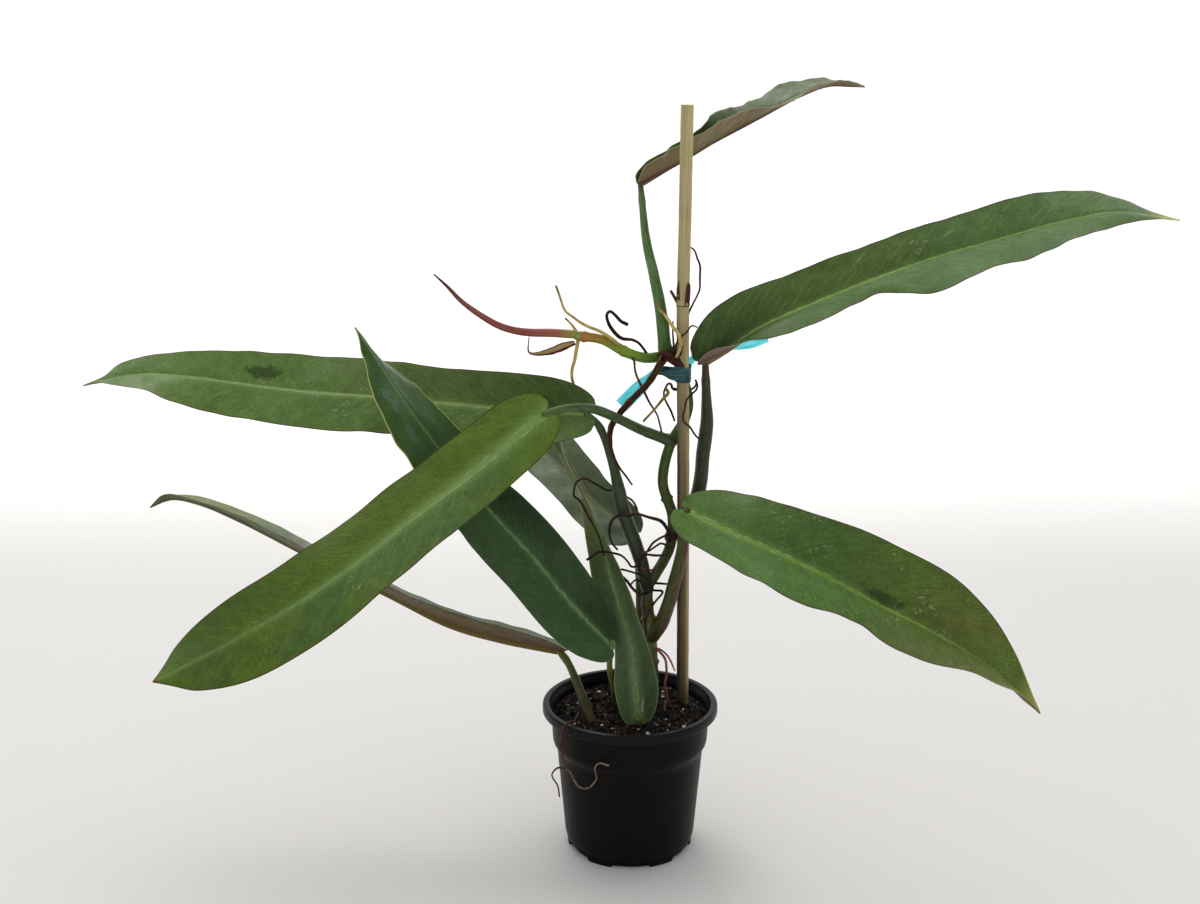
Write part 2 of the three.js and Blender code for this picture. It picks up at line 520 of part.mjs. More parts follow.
// Cane: a long round stake with one swollen joint and a stub beside it
function makeCane(grow = 0) {
  const shaft = solid(limb(CANE, [CANE_RADIUS, CANE_RADIUS],
    { sides: 12, steps: CANE_STEPS, grow, rings: [[CANE_JOINT, .6]] }));
  if (grow > 0) return shaft;
  const [x, y, z] = CANE[3];
  const stub = solid(limb([[x - 2, y, z + 3], [x - 5, y - 1, z + 8], [x - 8, y - 2, z +
    13]], [1.6, 1.1, .9], { sides: 5, steps: 4 }));
  return shaft.add(stub);
}

// Tie: one tape, wrapped round cane and stem, with its two tails
function makeTie() {
  const posts = [[34.5, 19.5, CANE_RADIUS + BAND_ROOM], [34.9, 30, 4.5 + BAND_ROOM]];
  const heading = Math.atan2(posts[1][1] - posts[0][1], posts[1][0] - posts[0][0]);
  const outline = (extra) => posts.flatMap(([x, y, radius], end) => {
    const points = [];
    for (let i = 0; i <= 8; i += 1) {
      const angle = heading + Math.PI * (i / 8 + .5 - end);
      const reach = radius + extra;
      points.push(new THREE.Vector2(x + reach * Math.cos(angle), y + reach * Math.sin(angle)));
    }
    return points;
  });
  const shape = new THREE.Shape(outline(BAND_THICKNESS));
  shape.holes.push(new THREE.Path(outline(0)));
  const band = new THREE.ExtrudeGeometry(shape, { depth: BAND_HIGH - BAND_LOW, bevelEnabled: false });
  band.translate(0, 0, BAND_LOW);
  return joined([
    solid(band),
    solid(tape(TAIL_LEFT, TAIL_LEFT_HALF, TAPE_THICKNESS)),
    solid(tape(TAIL_RIGHT, TAIL_RIGHT_HALF, TAPE_THICKNESS)),
  ]);
}

function stemBody(grow = 0) {
  return solid(limb(STEM, STEM_GIRTH, { sides: 8, steps: 44, grow, rings: STEM_RINGS }));
}

function stalkBody(leaf, grow = 0) {
  return solid(limb(leaf.stalk, leaf.girth, { sides: 7, steps: 12, grow }));
}

function shootBody(grow = 0) {
  return solid(limb(SHOOT, SHOOT_GIRTH, { sides: 8, steps: 10, grow, rings: [[1, .8]] }));
}

const plant = new THREE.Group();

function place(name, body, colourName) {
  const [colour, roughness] = COLOURS[colourName];
  const material = new THREE.MeshStandardMaterial({ color: colour, roughness, metalness: 0 });
  const mesh = new THREE.Mesh(geometryOf(body), material);
  mesh.name = name;
  plant.add(mesh);
}

const stemRoom = stemBody(GAP);
const shootRoom = shootBody(GAP);
const caneRoom = makeCane(GAP);
const inSoil = Object.values(LEAVES).filter((leaf) => leaf.stalk[0][2] < SOIL_TOP);

place('pot', makePot(), 'pot');
place('soil', makeSoil([
  stemRoom,
  caneRoom,
  ...inSoil.map((leaf) => stalkBody(leaf, GAP)),
  ...inSoil.map((leaf) => solid(blade(leaf, GAP))),
  root(SOIL_ROOT, GAP),
  root([RIM_ROOT, .8, .7], GAP),
]), 'soil');
place('cane', makeCane(), 'cane');
place('tie', makeTie(), 'tie');
const stemRoots = [SOIL_ROOT, ...STEM_ROOTS].map((each) => root(each));
const shootRoots = SHOOT_ROOTS.map((each) => root(each));
const rimTwigs = RIM_ROOT_TWIGS.map((each) => root(each));
const longScale = solid(limb(LONG_SCALE, LONG_SCALE_GIRTH, { sides: 6, steps: 20 }));
const spear = solid(limb(SPEAR, SPEAR_GIRTH, { sides: 7 }));
const budSheath = solid(limb(BUD_SHEATH, BUD_SHEATH_GIRTH, { sides: 5 }));

place('main_stem', joined([stemBody(), ...stemRoots]), 'stem');
place('long_scale', largest(cutBy(longScale, [stemRoom, shootRoom])), 'brownScale');
place('shoot', largest(cutBy(joined([shootBody(), ...shootRoots]), [stemRoom])), 'shoot');
place('spear', largest(cutBy(spear, [shootRoom])), 'spear');
place('bud_sheath', largest(cutBy(budSheath, [shootRoom])), 'brownScale');
place('rim_root', joined([root([RIM_ROOT, .8, .7]), ...rimTwigs]), 'root');

for (const [name, leaf] of Object.entries(LEAVES)) {
  place(`${name}_blade`, solid(blade(leaf)), leaf.colour);
  const ends = [stemRoom, shootRoom, solid(blade(leaf, 1.6 * GAP))];
  place(`${name}_stalk`, largest(cutBy(stalkBody(leaf), ends)), leaf.stalkColour);
}

export default plant;
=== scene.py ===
import math

import bmesh
import bpy
import numpy as np
from bpy.props import FloatProperty, FloatVectorProperty, IntProperty, PointerProperty
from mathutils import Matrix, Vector


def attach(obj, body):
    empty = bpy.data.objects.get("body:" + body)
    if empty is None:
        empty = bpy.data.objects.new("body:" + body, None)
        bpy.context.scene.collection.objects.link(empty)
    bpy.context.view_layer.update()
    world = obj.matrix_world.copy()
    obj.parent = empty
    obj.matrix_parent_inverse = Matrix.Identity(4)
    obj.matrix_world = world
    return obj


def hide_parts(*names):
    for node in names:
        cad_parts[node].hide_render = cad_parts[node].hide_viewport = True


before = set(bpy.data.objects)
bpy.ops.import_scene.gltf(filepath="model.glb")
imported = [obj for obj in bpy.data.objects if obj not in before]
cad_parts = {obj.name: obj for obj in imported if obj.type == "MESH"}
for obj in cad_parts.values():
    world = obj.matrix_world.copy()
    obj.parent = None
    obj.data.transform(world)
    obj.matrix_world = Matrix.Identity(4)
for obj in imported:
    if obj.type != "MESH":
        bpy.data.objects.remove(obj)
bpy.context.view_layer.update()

bl_info = {
    "name": "Potted bicolor philodendron",
    "version": (1, 0, 0),
    "blender": (4, 5, 0),
    "location": "3D View > Sidebar > Plant",
    "description": "Builds a potted climbing aroid with its cane, tie and roots",
    "category": "Object",
}

MM = 0.001
BODY = "root"

# Pot
POT_HEIGHT = 104
RIM_RADIUS = 60
LIP_HEIGHT = 6
COLLAR_TOP_RADIUS = 54
COLLAR_BOTTOM_RADIUS = 53
COLLAR_BOTTOM = 75
BODY_TOP_RADIUS = 50.2
BODY_BOTTOM_RADIUS = 44.2
FOOT_RADIUS = 43
FOOT_HEIGHT = 3
WALL = 1.2
FOOT_COUNT = 6
ARCH_HALF_ANGLE = 18
ARCH_HEIGHT = 4.6
DRAIN_RADIUS = 3.5
DRAIN_REACH = 31
DRAIN_LEVEL = 6
DRAIN_DEPTH = 20

# Soil, with the smallest and largest radius of its grains, and the x, y and radius of white lumps
SOIL_TOP = 96
SOIL_CLEARANCE = .35
SOIL_SEED = 11
GRAIN_REACH = 51
CRUMB_SIZES = (.5, 2.1)
GRIT_SIZES = (.35, 1.25)
FIBRE_COUNT = 46
FIBRE_REACH = 48
FIBRE_END_REACH = 50.5
FIBRE_STEP = 2.6
WHITE_LUMPS = [(-2, -46, 1.9), (12, -43, 2.0), (10, -45, 1.4), (-17, -45, 1.5), (36, -26, 1.5),
               (11, -39, 1.2), (-38, -22, 1.1), (30, -34, 1.3), (-8, -48, 1.1), (20, -41, 1.1)]

# Cane, with its joint as a share of its length, the length over which its tones run, and the papery
# strips of its old sheath, each with its half width
CANE_RADIUS = 4.15
CANE_LENGTH = 461.6
CANE_TONES_LENGTH = 461
CANE = [(37.4, 17.6, 42), (36.6, 18.4, 155), (35.4, 19.2, 270), (33.9, 19.8, 371),
        (34.5, 20, 430), (35, 20, 503)]
CANE_JOINT = .7245
BAMBOO_TONES = [(0, "5E5034"), (.3, "6C5E3C"), (.5, "7E7048"), (.62, "A2946A"), (.76, "C2B27E"),
                (1, "CBBB86")]
STRIP_THICKNESS = .25
CANE_STRIPS = [([(30.9, 17.2, 374), (30.6, 17.1, 380), (30.5, 17.2, 386), (30.9, 17.4, 391)], 1.3),
               ([(36.2, 16, 374), (36.4, 16, 380), (36.5, 16, 385), (36.9, 16.2, 390)], 1.5),
               ([(37.6, 17.8, 375), (37.8, 17.8, 381), (37.9, 17.9, 387), (37.7, 18, 389)], 1.1)]

# Stations along a blade at which its six half widths are given, with the drawn-out tip after them
STATIONS = [0, .1, .3, .5, .7, .84, .93, .975, 1]
TIP_HALF_WIDTH = 0.4
BASE_ROUNDING = 0.09
VEIN_SPACING = 8.5
VEIN_LEAN = 1.15
VEIN_BEND = .012
BLADE_ROWS = 150
BLADE_HALF_COLUMNS = 20
MARGIN_THICKNESS = .28
KEEL_HEIGHT = 2.0
KEEL_HALF_WIDTH = 1.7

# Leaves: rib runs from the stalk's end to the tip, left and right are the half widths, roll turns
# the blade about its rib and fold lifts both halves. lobe is how far the base reaches back past the
# stalk's end, wave how far the margins ripple and how many ripples there are, and arch how far each
# half bulges. stalk and girth are the stalk's route and radii. trims change one half's width here
# and there: the half, the share of the length, the extra millimetres, and their spread.
LEAVES = {
    "leaf_1": dict(
        rib=[(-56, -22, 311), (-83, -40, 292), (-111, -58, 273), (-138, -75, 256), (-159, -88, 241),
             (-193, -108, 220), (-228, -128, 203), (-280, -152, 181)],
        left=[21, 25, 28, 28, 26, 18], right=[25, 27, 28, 25, 23, 17],
        roll=[64, 40, 32, 52, 26], fold=[-2, 0, 2, -16], lobe=7,
        stalk=[(28, 26, 281), (8, 20, 290), (-9, 8, 301), (-25, -4, 310), (-40, -14, 313),
               (-51, -20, 312), (-56, -22, 311)],
        girth=[3.9, 3.6, 3.5, 3.4, 3.2, 2.6, 2.2], wave=(.5, 4), arch=.04),
    "leaf_2": dict(
        rib=[(-29, 14, 302), (-94, 24, 305), (-129, 30, 307), (-174, 36, 310), (-227, 41, 313),
             (-264, 44, 317), (-294, 45, 321), (-325, 44, 324), (-344, 42, 323), (-360, 40, 320),
             (-371, 39, 317)],
        left=[27, 25, 28, 25, 23, 15], right=[24, 25, 30, 24, 19, 14],
        roll=[66, 60, 47, 50, 0], fold=[28, 0, 0, 10], lobe=6,
        stalk=[(12, 14, 180), (7, 14, 201), (-4, 13, 233), (-11, 12, 265), (-17, 12, 285),
               (-22, 12, 296), (-29, 14, 302)],
        girth=[4.2, 4.8, 5.2, 5, 3.6, 2.8, 2.4], wave=(.7, 6), arch=.03),
    "leaf_3": dict(
        rib=[(-13, -28, 155), (-40, -23, 183), (-63, -21, 212), (-95, -18, 248), (-124, -15, 285),
             (-149, -12, 321), (-167, -10, 350), (-177, -9, 365)],
        left=[24, 25, 26, 28, 22, 11], right=[21, 23, 23, 28, 23, 9],
        roll=[24, 80, 42, 20, 0], fold=[-8, 3, -3, -20], lobe=6,
        stalk=[(-8, 11, 80), (-9, 11, 95), (-11, -8, 115), (-14, -20, 135), (-14, -26, 148),
               (-13, -28, 155)],
        girth=[2.6, 2.6, 2.4, 2.2, 2.1, 2], wave=(.6, 5), arch=.03),
    "leaf_4": dict(
        rib=[(-49, 5, 139), (-89, 12, 144.5), (-124, 20, 152), (-167, 30, 170.5), (-230, 42, 199),
             (-272, 50, 218.5), (-301, 55, 229.5), (-322, 58, 232.5), (-338, 60, 225)],
        left=[24, 23, 25, 27, 19, 12], right=[23, 22, 26, 26, 19, 12],
        roll=[-20, -21, -22, -19, -15], fold=[17, 26, 15, 12, 12, 9], lobe=6,
        stalk=[(-24, -17, 80), (-27, -16, 96), (-32, -10, 109), (-38, -3, 123), (-43, 2, 132),
               (-49, 5, 139)],
        girth=[4, 4, 3.6, 3.1, 2.7, 2.4], wave=(.4, 4), arch=.01),
    "leaf_5": dict(
        rib=[(5, -20, 99), (3, -15, 118), (0, -8, 144), (-8, 2, 176), (-19, 12, 212), (-31, 20, 245),
             (-45, 30, 270), (-53, 36, 290), (-58, 42, 307)],
        left=[16, 15, 13, 12, 6, 5], right=[16, 10, 12, 13, 10, 6],
        roll=[0, 8, 94, 132, 75], fold=[6, 26, 12, 18], lobe=3.5,
        stalk=[(4, -12, 78), (5, -16, 90), (5, -20, 99)],
        girth=[3, 3, 2.6], wave=(.3, 4), arch=.02),
    "leaf_6": dict(
        rib=[(3, 46, 211), (-21, 78, 221), (-41, 106, 234), (-62, 136, 247), (-86, 170, 259),
             (-111, 205, 267)],
        left=[21, 20, 22, 25, 20, 10], right=[17, 22, 23, 25, 20, 10],
        roll=[52, 54, 45, 42, 45], fold=[17, 28, 22, 3], lobe=6,
        stalk=[(7, 22, 80), (7, 24, 103), (7, 26, 139), (7, 28, 167), (6, 34, 191), (3, 46, 211)],
        girth=[3.6, 3.6, 3.4, 3.1, 2.7, 2.3], wave=(.6, 4), arch=.02),
    "leaf_7": dict(
        rib=[(6, 44, 452), (19, 58, 458), (38, 78, 467), (62, 100, 479), (92, 125, 493),
             (123, 150, 507), (147, 168, 514), (175, 186, 512)],
        left=[12, 17, 16, 22, 12, 7], right=[15, 23, 16, 12, 12, 5],
        roll=[-3, -32, 0, 0, 8], fold=[76, 70, 14, 26], lobe=3,
        stalk=[(23, 27, 341), (20, 29, 368), (15, 32, 393), (10, 36, 415), (6, 44, 452)],
        girth=[4.4, 4.2, 3.6, 2.8, 1.9], wave=(1.1, 6), arch=.02),
    "leaf_8": dict(
        rib=[(50, 32, 334), (61, 34, 340), (88, 40, 357), (130, 48, 374.5), (172, 55, 390),
             (213, 61, 403), (251, 66, 413), (292, 70, 424), (334, 73, 431), (376, 76, 425)],
        left=[28, 26.5, 26, 27, 26, 12], right=[28, 16, 32.5, 28, 19, 13],
        roll=[-24, -37, -39, -35, -3], fold=[58, 20, 10, 12.5, 14, 4, -3], lobe=6,
        stalk=[(28, 25, 214), (39, 34, 225), (47, 36, 243), (50, 36, 272), (52, 36, 291),
               (51, 34, 315), (50, 32, 334)],
        girth=[4.6, 4.8, 4.9, 4.8, 4.6, 3.2, 2.3], wave=(.8, 6), arch=.03,
        trims=[("right", .37, -4.5, .035), ("right", .46, 3, .04), ("right", .59, -2.5, .04),
               ("right", .25, 2.5, .05)]),
    "leaf_9": dict(
        rib=[(37, 0, 240), (66, -14, 229), (99, -30, 218), (131, -46, 206), (154, -58, 196),
             (185, -74, 184), (215, -90, 170), (232, -100, 158), (249, -110, 143)],
        left=[34.5, 34.5, 38.5, 36, 23, 11], right=[28.5, 36.5, 22, 29, 20, 11],
        roll=[-20, -30, -50, -30, 12], fold=[0, 20, 20, 20], lobe=7,
        stalk=[(14, 12, 145), (20, 8, 155), (26, 6, 172), (30, 5, 189), (34, 4, 207), (36, 3, 225),
               (37, 0, 240)],
        girth=[4.6, 5, 4.8, 4.5, 4.3, 3.6, 2.6], wave=(.7, 5), arch=.03,
        trims=[("right", .54, -2, .03)]),
}

# How each leaf is coloured: left and right are the greens of its upper face's two halves, far is
# the green of its far end, near that of its base, and patch the tone that drifts over them. On some
# leaves a half, an end and a mark hold painted sheen and painted shade, as noted at each leaf. rib
# and keel are the midrib above and below, rib_width its half width in millimetres at base and tip,
# rib_edge the lines beside it, and glow how much a painted sheen pales the green around it. margin
# turns into end_margin towards the tip. turns, rib_fades, margin_turns and tip_turns are the shares
# of the length between which each change takes place. veins is how plainly the side veins show,
# dust how much of the face has pale specks, and shine how much it reflects. The lower face has
# under, under_patch, under_far and under_margin. marks are blotches: centre and half sizes in
# millimetres, turn, raggedness, strength and colour. speckled are patches of specks: centre, sizes
# and colour.
LOOKS = {
    # leaf_1: near is a lighter green and far a darker one, painted light at the base and painted shade
    # towards the tip
    "leaf_1": dict(left="557238", right="566E22", far="4B6525", patch="667C1C", near="5F7D2C",
                   turns=(.45, .95), rib="8DAE66", rib_width=(2.3, .8), rib_fades=(.55, .9),
                   margin="4A3420", tip="7A4024", tip_turns=(.984, .998),
                   veins=.08, dust=.3, shine=.26,
                   under="6E6A46", under_patch="5E6A3C", keel="8A8A5A", under_margin="5A3A2A"),
    "leaf_2": dict(left="607F40", right="4E6430", far="648240", patch="6E8C42", turns=(.2, .7),
                   rib="AECC7C", rib_width=(1.15, .75), glow=.18, rib_fades=(.9, 1),
                   margin="5A4634", end_margin="5F5434", tip="B0A878",
                   veins=.08, dust=.55, shine=.26,
                   marks=[((10, 224), (7, 17), 4, .3, .74, "25400F")],
                   under="6E6A4A", under_patch="5E6A3E", keel="8A8A5A", under_margin="5A3A2A"),
    # leaf_3: the darker right half is painted shade from leaf_1 above it, and the two bluish marks near
    # the tip are a painted sheen
    "leaf_3": dict(left="36512A", right="263C1E", far="3A5A24", patch="426438", turns=(.5, .8),
                   rib="6F9158", rib_width=(1.1, .5), glow=.2,
                   margin="3E4A28", end_margin="C8CC70", margin_turns=(.45, .7),
                   tip="4A3E2A", tip_turns=(.99, 1), veins=.08, dust=.3, shine=.24,
                   marks=[((-12, 217), (4, 12), 0, .4, .3, "6E9088"),
                          ((-12, 193), (4, 9), 0, .4, .22, "6E9088"),
                          ((1.6, 0), (5, 3), 0, .3, .5, "8FA878")],
                   under="62603E", under_patch="55603A", keel="7F8458", under_margin="55402C"),
    "leaf_4": dict(left="52603C", right="55664A", far="6E7E34", patch="66744E", rib="8A9468",
                   rib_width=(.8, .5), glow=.15, margin="3E3A20", end_margin="CFCB84",
                   margin_turns=(.5, .62), tip="4A3420", veins=.08, dust=.15, turns=(.6, .95),
                   under="5B4A22", under_patch="4C4220", keel="6E5A2A", under_margin="3E3018",
                   under_far="4E5530"),
    "leaf_5": dict(left="465A36", right="3F5230", far="646E2C", patch="52683C", turns=(.4, .7),
                   rib="7C9864", rib_width=(1.8, .6), margin="7C8C5C", tip="6A5A34",
                   veins=.06, dust=.25, shine=.26,
                   marks=[((4.2, 9.7), (.9, 9), -13, .5, .85, "A8A890"),
                          ((2.3, 1.8), (2, 1.6), 0, .4, .7, "9A8A60"),
                          ((-3, 142), (.7, 22), 6, .5, .6, "4A3A20"),
                          ((4.5, 113), (1.6, 2.4), 0, .3, .6, "4A3A20"),
                          ((-1.2, 91), (.8, 18), 0, .4, .5, "9AB07A")],
                   under="5A5230", under_patch="4C5430", keel="7A7A4E", under_margin="4A3424"),
    # leaf_6: near is painted shade at the base, and far is paler partly from real dust and partly from a
    # painted sheen
    "leaf_6": dict(left="5C6C48", right="596946", far="6E8259", patch="64765A", turns=(.3, .9),
                   near="3C4A30", rib="8FA078", rib_width=(.9, .6), margin="565A44", tip="6A6A4A",
                   veins=.08, dust=.3,
                   under="6E6A50", under_patch="5E684A", keel="8A8A66", under_margin="5A4438"),
    # leaf_7: far is a pale grey-green, a painted sheen on the upturned far end
    "leaf_7": dict(left="52663C", right="55683C", far="8A9A78", patch="66784E", turns=(.6, .9),
                   rib="8A9A66", rib_width=(1.0, .5), margin="A8AC84", end_margin="6A5A4A",
                   tip="5A4234", veins=.1, dust=.1,
                   under="806E4C", under_patch="6A6840", keel="5E3A30", under_margin="9A9A70"),
    # leaf_8: the right half, the lower one, is paler from a painted sheen
    "leaf_8": dict(left="506A2C", right="5C7C40", far="5E7C48", patch="5A7638", near="3C5226",
                   turns=(.3, .8), rib="B6D67C", rib_width=(.95, .5), rib_fades=(.75, .95),
                   glow=.16, shine=.26,
                   margin="3E2A2A", end_margin="5A4A34", tip="B8BE68", tip_turns=(.925, .985),
                   marks=[((-16.7, 124.5), (1, 9), 30, .6, .5, "8FA878"),
                          ((-14.7, 189.6), (1, 7), 20, .6, .45, "8FA878")],
                   speckled=[((-13, 17), (9, 15), "D0D09A")],
                   veins=.1, dust=.45,
                   under="6C5446", under_patch="5E5440", keel="8A7A58", under_margin="C0B08A"),
    # leaf_9: the right half, the lower one, is paler from a painted sheen
    "leaf_9": dict(left="4D6A2E", right="58803A", far="5E6A2C", patch="56782A", near="60843E",
                   turns=(.35, .75), rib="9CC060", rib_width=(1.7, .6), rib_fades=(.6, .9),
                   rib_edge="D8E6B8", margin="4E3A34", end_margin="B4B45A", margin_turns=(.8, .95),
                   tip="9AA24A", tip_turns=(.9, .99), veins=.08, dust=.75, shine=.26, glow=.26,
                   marks=[((-5, 142), (5, 17), 0, .3, .75, "23400E")],
                   speckled=[((24, 62), (8, 13), "B4C4A4"), ((15.6, 129), (8, 12), "B4C4A4"),
                             ((0, 191), (7, 9), "B4C4A4"), ((-3, 58), (4, 20), "C8DCA8")],
                   under="6E6A46", under_patch="5E6A3C", keel="8A8A5A", under_margin="5A3A2A"),
}

# Tones along each stalk, and the colour of its right side with how strong it is
STALK_TONES = {
    "leaf_1": [(0, "435430"), (.4, "4A6036"), (.9, "567440"), (1, "5A7A3C")],
    "leaf_2": [(0, "2F3A22"), (.5, "35452B"), (.9, "3E5430"), (1, "5A7A3C")],
    "leaf_3": [(0, "4A4A28"), (.6, "5A6634"), (1, "6A7A3C")],
    "leaf_4": [(0, "3A3820"), (.3, "45461F"), (.8, "4E5426"), (1, "5E6A30")],
    "leaf_5": [(0, "4A4A20"), (1, "6A7030")],
    "leaf_6": [(0, "3E3A20"), (.6, "4C5428"), (1, "5A6634")],
    "leaf_7": [(0, "4A6A32"), (.4, "5A8046"), (.9, "608048"), (1, "5A4234")],
    "leaf_8": [(0, "3A3A1E"), (.3, "333C28"), (.8, "3E4C34"), (1, "5A4A38")],
    "leaf_9": [(0, "33340F"), (.3, "46481A"), (.7, "46501E"), (1, "5A6A2C")],
}
STALK_BLUSH = {"leaf_9": ("5E2A16", .9), "leaf_4": ("4A3A18", .5), "leaf_8": ("4E2C2E", .7)}
PLAIN_BLUSH = ("3A3A22", .3)

# Main stem with its radius at each point, and the rings where old leaves stood
STEM = [(16, 11, 62), (15, 12, 96), (14, 12, 145), (12, 14, 181), (17, 17, 189), (27, 24, 206),
        (29, 25, 228), (22, 24, 253), (27, 26, 279), (36, 30, 294), (38.8, 30, 304),
        (38.2, 30, 312), (36, 30, 321), (35, 30, 334), (31, 29.4, 341), (23, 27, 341)]
STEM_GIRTH = [5.2, 5.2, 5.2, 5, 4.4, 4.2, 3.7, 3.6, 3.6, 3.5, 3.5, 3.5, 3.5, 3.8, 4.2]
STEM_RINGS = [(.115, .5), (.14, .7), (.17, .7), (.195, .5), (.22, 1.2), (.325, 1.1), (.36, .8),
              (.62, 1), (.96, .9)]

STEM_TONES = [(0, "1E1810"), (.1, "2E2616"), (.15, "463A20"), (.21, "54482A"), (.235, "66704A"),
              (.3, "76805A"), (.325, "6B6A34"), (.345, "4E4A26"), (.38, "4A5430"), (.6, "4F6432"),
              (.64, "4C5A2C"), (.8, "4D6A2C"), (.88, "3E5426"), (.93, "4A3A24"), (1, "3E2A1E")]

# Thin roots on the main stem: route, radius at start and end, and kind
STEM_ROOTS = [
    ([(35, 28, 317), (30, 25, 317), (27.5, 20, 319), (27, 17, 320.6), (26, 16, 322.6),
      (24.6, 15.5, 322.8), (23.2, 15, 321), (21.8, 15, 317.3), (21.9, 15, 313.9),
      (23.7, 15, 309.9), (26.6, 16, 304.2), (29, 16, 297.6)], 1, .6, "dark"),
    ([(23, 15, 319.5), (24.6, 14.6, 317), (21.2, 14, 312.8), (16.3, 13, 307),
      (10.4, 12.5, 300.3), (8.6, 12, 298.3)], 1, .9, "olive"),
    ([(27, 26, 340), (28.5, 19, 339), (30.6, 14, 342.8), (32.2, 12.5, 348.2), (31.8, 12, 352.7),
      (30.3, 12, 357.2), (26.5, 13, 362.2), (23.8, 14, 366.3), (20.8, 15, 369.9),
      (18.2, 15, 372.7), (17.2, 15, 376.8)], 1, 1.2, "yellow"),
    ([(29, 28, 339), (30, 27, 346), (33, 28, 353), (37, 28, 365), (41, 26, 375), (43, 25, 379),
      (45, 25, 384), (45, 25, 392), (45, 24, 400), (43, 25, 405), (41, 26, 410),
      (38, 27, 412)], .8, .6, "dark"),
    ([(27, 26, 339), (27.5, 18, 341), (28, 14, 345), (29.6, 13, 350.5), (31.8, 12.5, 354),
      (36.2, 12.6, 357.9), (38, 13.5, 360.5), (39.7, 15, 361.8), (43.2, 18, 360.2)], .8, .5, "dark"),
    ([(28.2, 14, 345), (27.6, 15, 352), (27.2, 16, 358), (27.4, 18, 364)], .7, .5, "dark"),
    ([(38.5, 30, 315), (42.5, 27, 318), (43.6, 21, 322.5), (42.6, 15, 325.2),
      (43.6, 12.8, 322.6), (43.3, 12.5, 319.9), (40, 12.5, 316.2), (36.8, 12.5, 312.4),
      (35.7, 12.5, 307), (34.5, 12.6, 301.7), (35.2, 12.8, 297.4), (38.6, 14, 294.4),
      (42.6, 18, 288), (46.8, 24, 282.4)], .7, .6, "dark"),
    ([(27, 24, 210), (25, 13, 223), (21, 10, 229), (13, 7, 233), (4, 5, 236), (-2, 4, 235),
      (-7, 4, 236), (-12, 5, 232), (-14, 6, 226), (-14, 5, 220), (-12, 5, 215),
      (-9, 6, 211)], 1.2, .8, "dark"),
    ([(7, 5, 200), (1, 5, 199), (-2, 4, 203), (-6, 1, 208), (-11, -3, 211), (-17, -6, 213),
      (-22, -7, 213), (-26, -7, 210), (-29, -7, 208)], .7, .9, "dark"),
    ([(28, 24, 212), (25, 12, 219), (20, 9, 218), (15, 7, 215), (12, 5, 211), (8, 5, 205),
      (5, 5, 199)], .9, .6, "dark"),
    ([(27, 24, 206), (25, 14, 211), (20, 9, 214), (16, 7, 212), (12, 5, 210), (8, 5, 209)],
     .9, .7, "red"),
    ([(25, 23, 203), (23, 12, 205), (17, 8, 206), (8, 5, 207), (6, 5, 202), (6, 5, 197)],
     .9, .6, "dark"),
    ([(21, 20, 197), (18, 10, 196), (13, 7, 196), (8, 5, 198)], .9, .7, "red"),
    ([(14, 15, 184), (25, 10, 185)], 1, .7, "dark"),
    ([(15, 12, 182), (13, 6, 187), (11, 5, 191), (2, 5, 195), (-6, 5, 197)], 1, .7, "dark"),
    ([(13, 12, 179), (9, 6, 179), (4, 5, 181), (0, 6, 185), (-2, 6, 188), (-6, 6, 192)],
     1.3, .9, "dark"),
    ([(14, 10, 180), (10, 4, 186), (4, 4, 190), (0, 5, 186)], .9, .6, "dark"),
    ([(16, 14, 179), (22, 8, 180), (17, 5, 174), (12, 4, 166), (10, 4, 158), (11, 4, 151)],
     .8, .6, "dark"),
    ([(14, 12, 139), (20, 10, 138), (24, 10, 135), (28, 11, 129), (31, 10, 122)], .8, .5, "pink"),
    ([(4, 5, 236), (4, 11, 238), (1, 18, 242), (-6, 21, 245), (-11, 20, 248), (-17, 16, 250),
      (-22, 12, 254), (-27, 9, 258), (-31, 7, 260), (-36, 6, 258), (-38, 5, 253), (-38, 4, 249),
      (-34, 3, 246), (-29, 0, 237), (-23, -4, 227), (-19, -6, 216), (-18, -7, 211)],
     .8, .7, "dark"),
    ([(14, 12, 139), (19, 8, 138), (24, 7, 132), (25, 6, 126), (25, 4, 120),
      (24, 2, 115), (26, 1, 106), (24, 0, 100), (25, -3, 94)], 1, .8, "pink"),
]

# New shoot, its roots, the red spear and the dry sheath under it
SHOOT = [(20, 26, 339), (9, 22, 339), (-3, 20, 343), (-19, 17, 352), (-35, 15, 355)]
SHOOT_GIRTH = [3.6, 3.5, 3.4, 3.2, 3.3]
SHOOT_ROOTS = [
    ([(11, 23, 341), (5, 22, 349), (1, 22, 351), (-6, 22, 352), (-10, 22, 355), (-15, 23, 362),
      (-16, 23, 368), (-14, 23, 370), (-11, 22, 368), (-7, 20, 364), (-3, 19, 362)],
     1, 1.2, "dark"),
    ([(-6, 19, 346), (-18, 14, 357), (-28, 14, 361), (-37, 12, 367), (-43, 10, 372), (-46, 8, 380),
      (-49, 6, 389)], 1.3, .7, "yellow"),
    ([(-35, 15, 354), (-36, 12, 346), (-37, 11, 340), (-39, 11, 334), (-39, 11, 328),
      (-38, 11, 324)], 1.3, 1, "yellow"),
    ([(-34, 15, 355), (-40, 12, 364), (-43, 11, 367)], 1, .7, "yellow"),
    ([(0, 20, 342), (2, 16, 337), (2.5, 15.3, 332.5), (5.1, 15.3, 324.7), (8.9, 15.3, 317.1),
      (12.8, 15.3, 309.2), (17.7, 15, 301), (19.3, 14.5, 295.5), (20.4, 14, 290.3)], .9, .7, "brown"),
]
SPEAR = [(-38, 15, 356), (-51, 14, 357), (-70, 12, 358), (-85, 10, 362), (-97, 8, 369),
         (-110, 6, 379), (-119, 4, 389), (-127, 2, 397)]
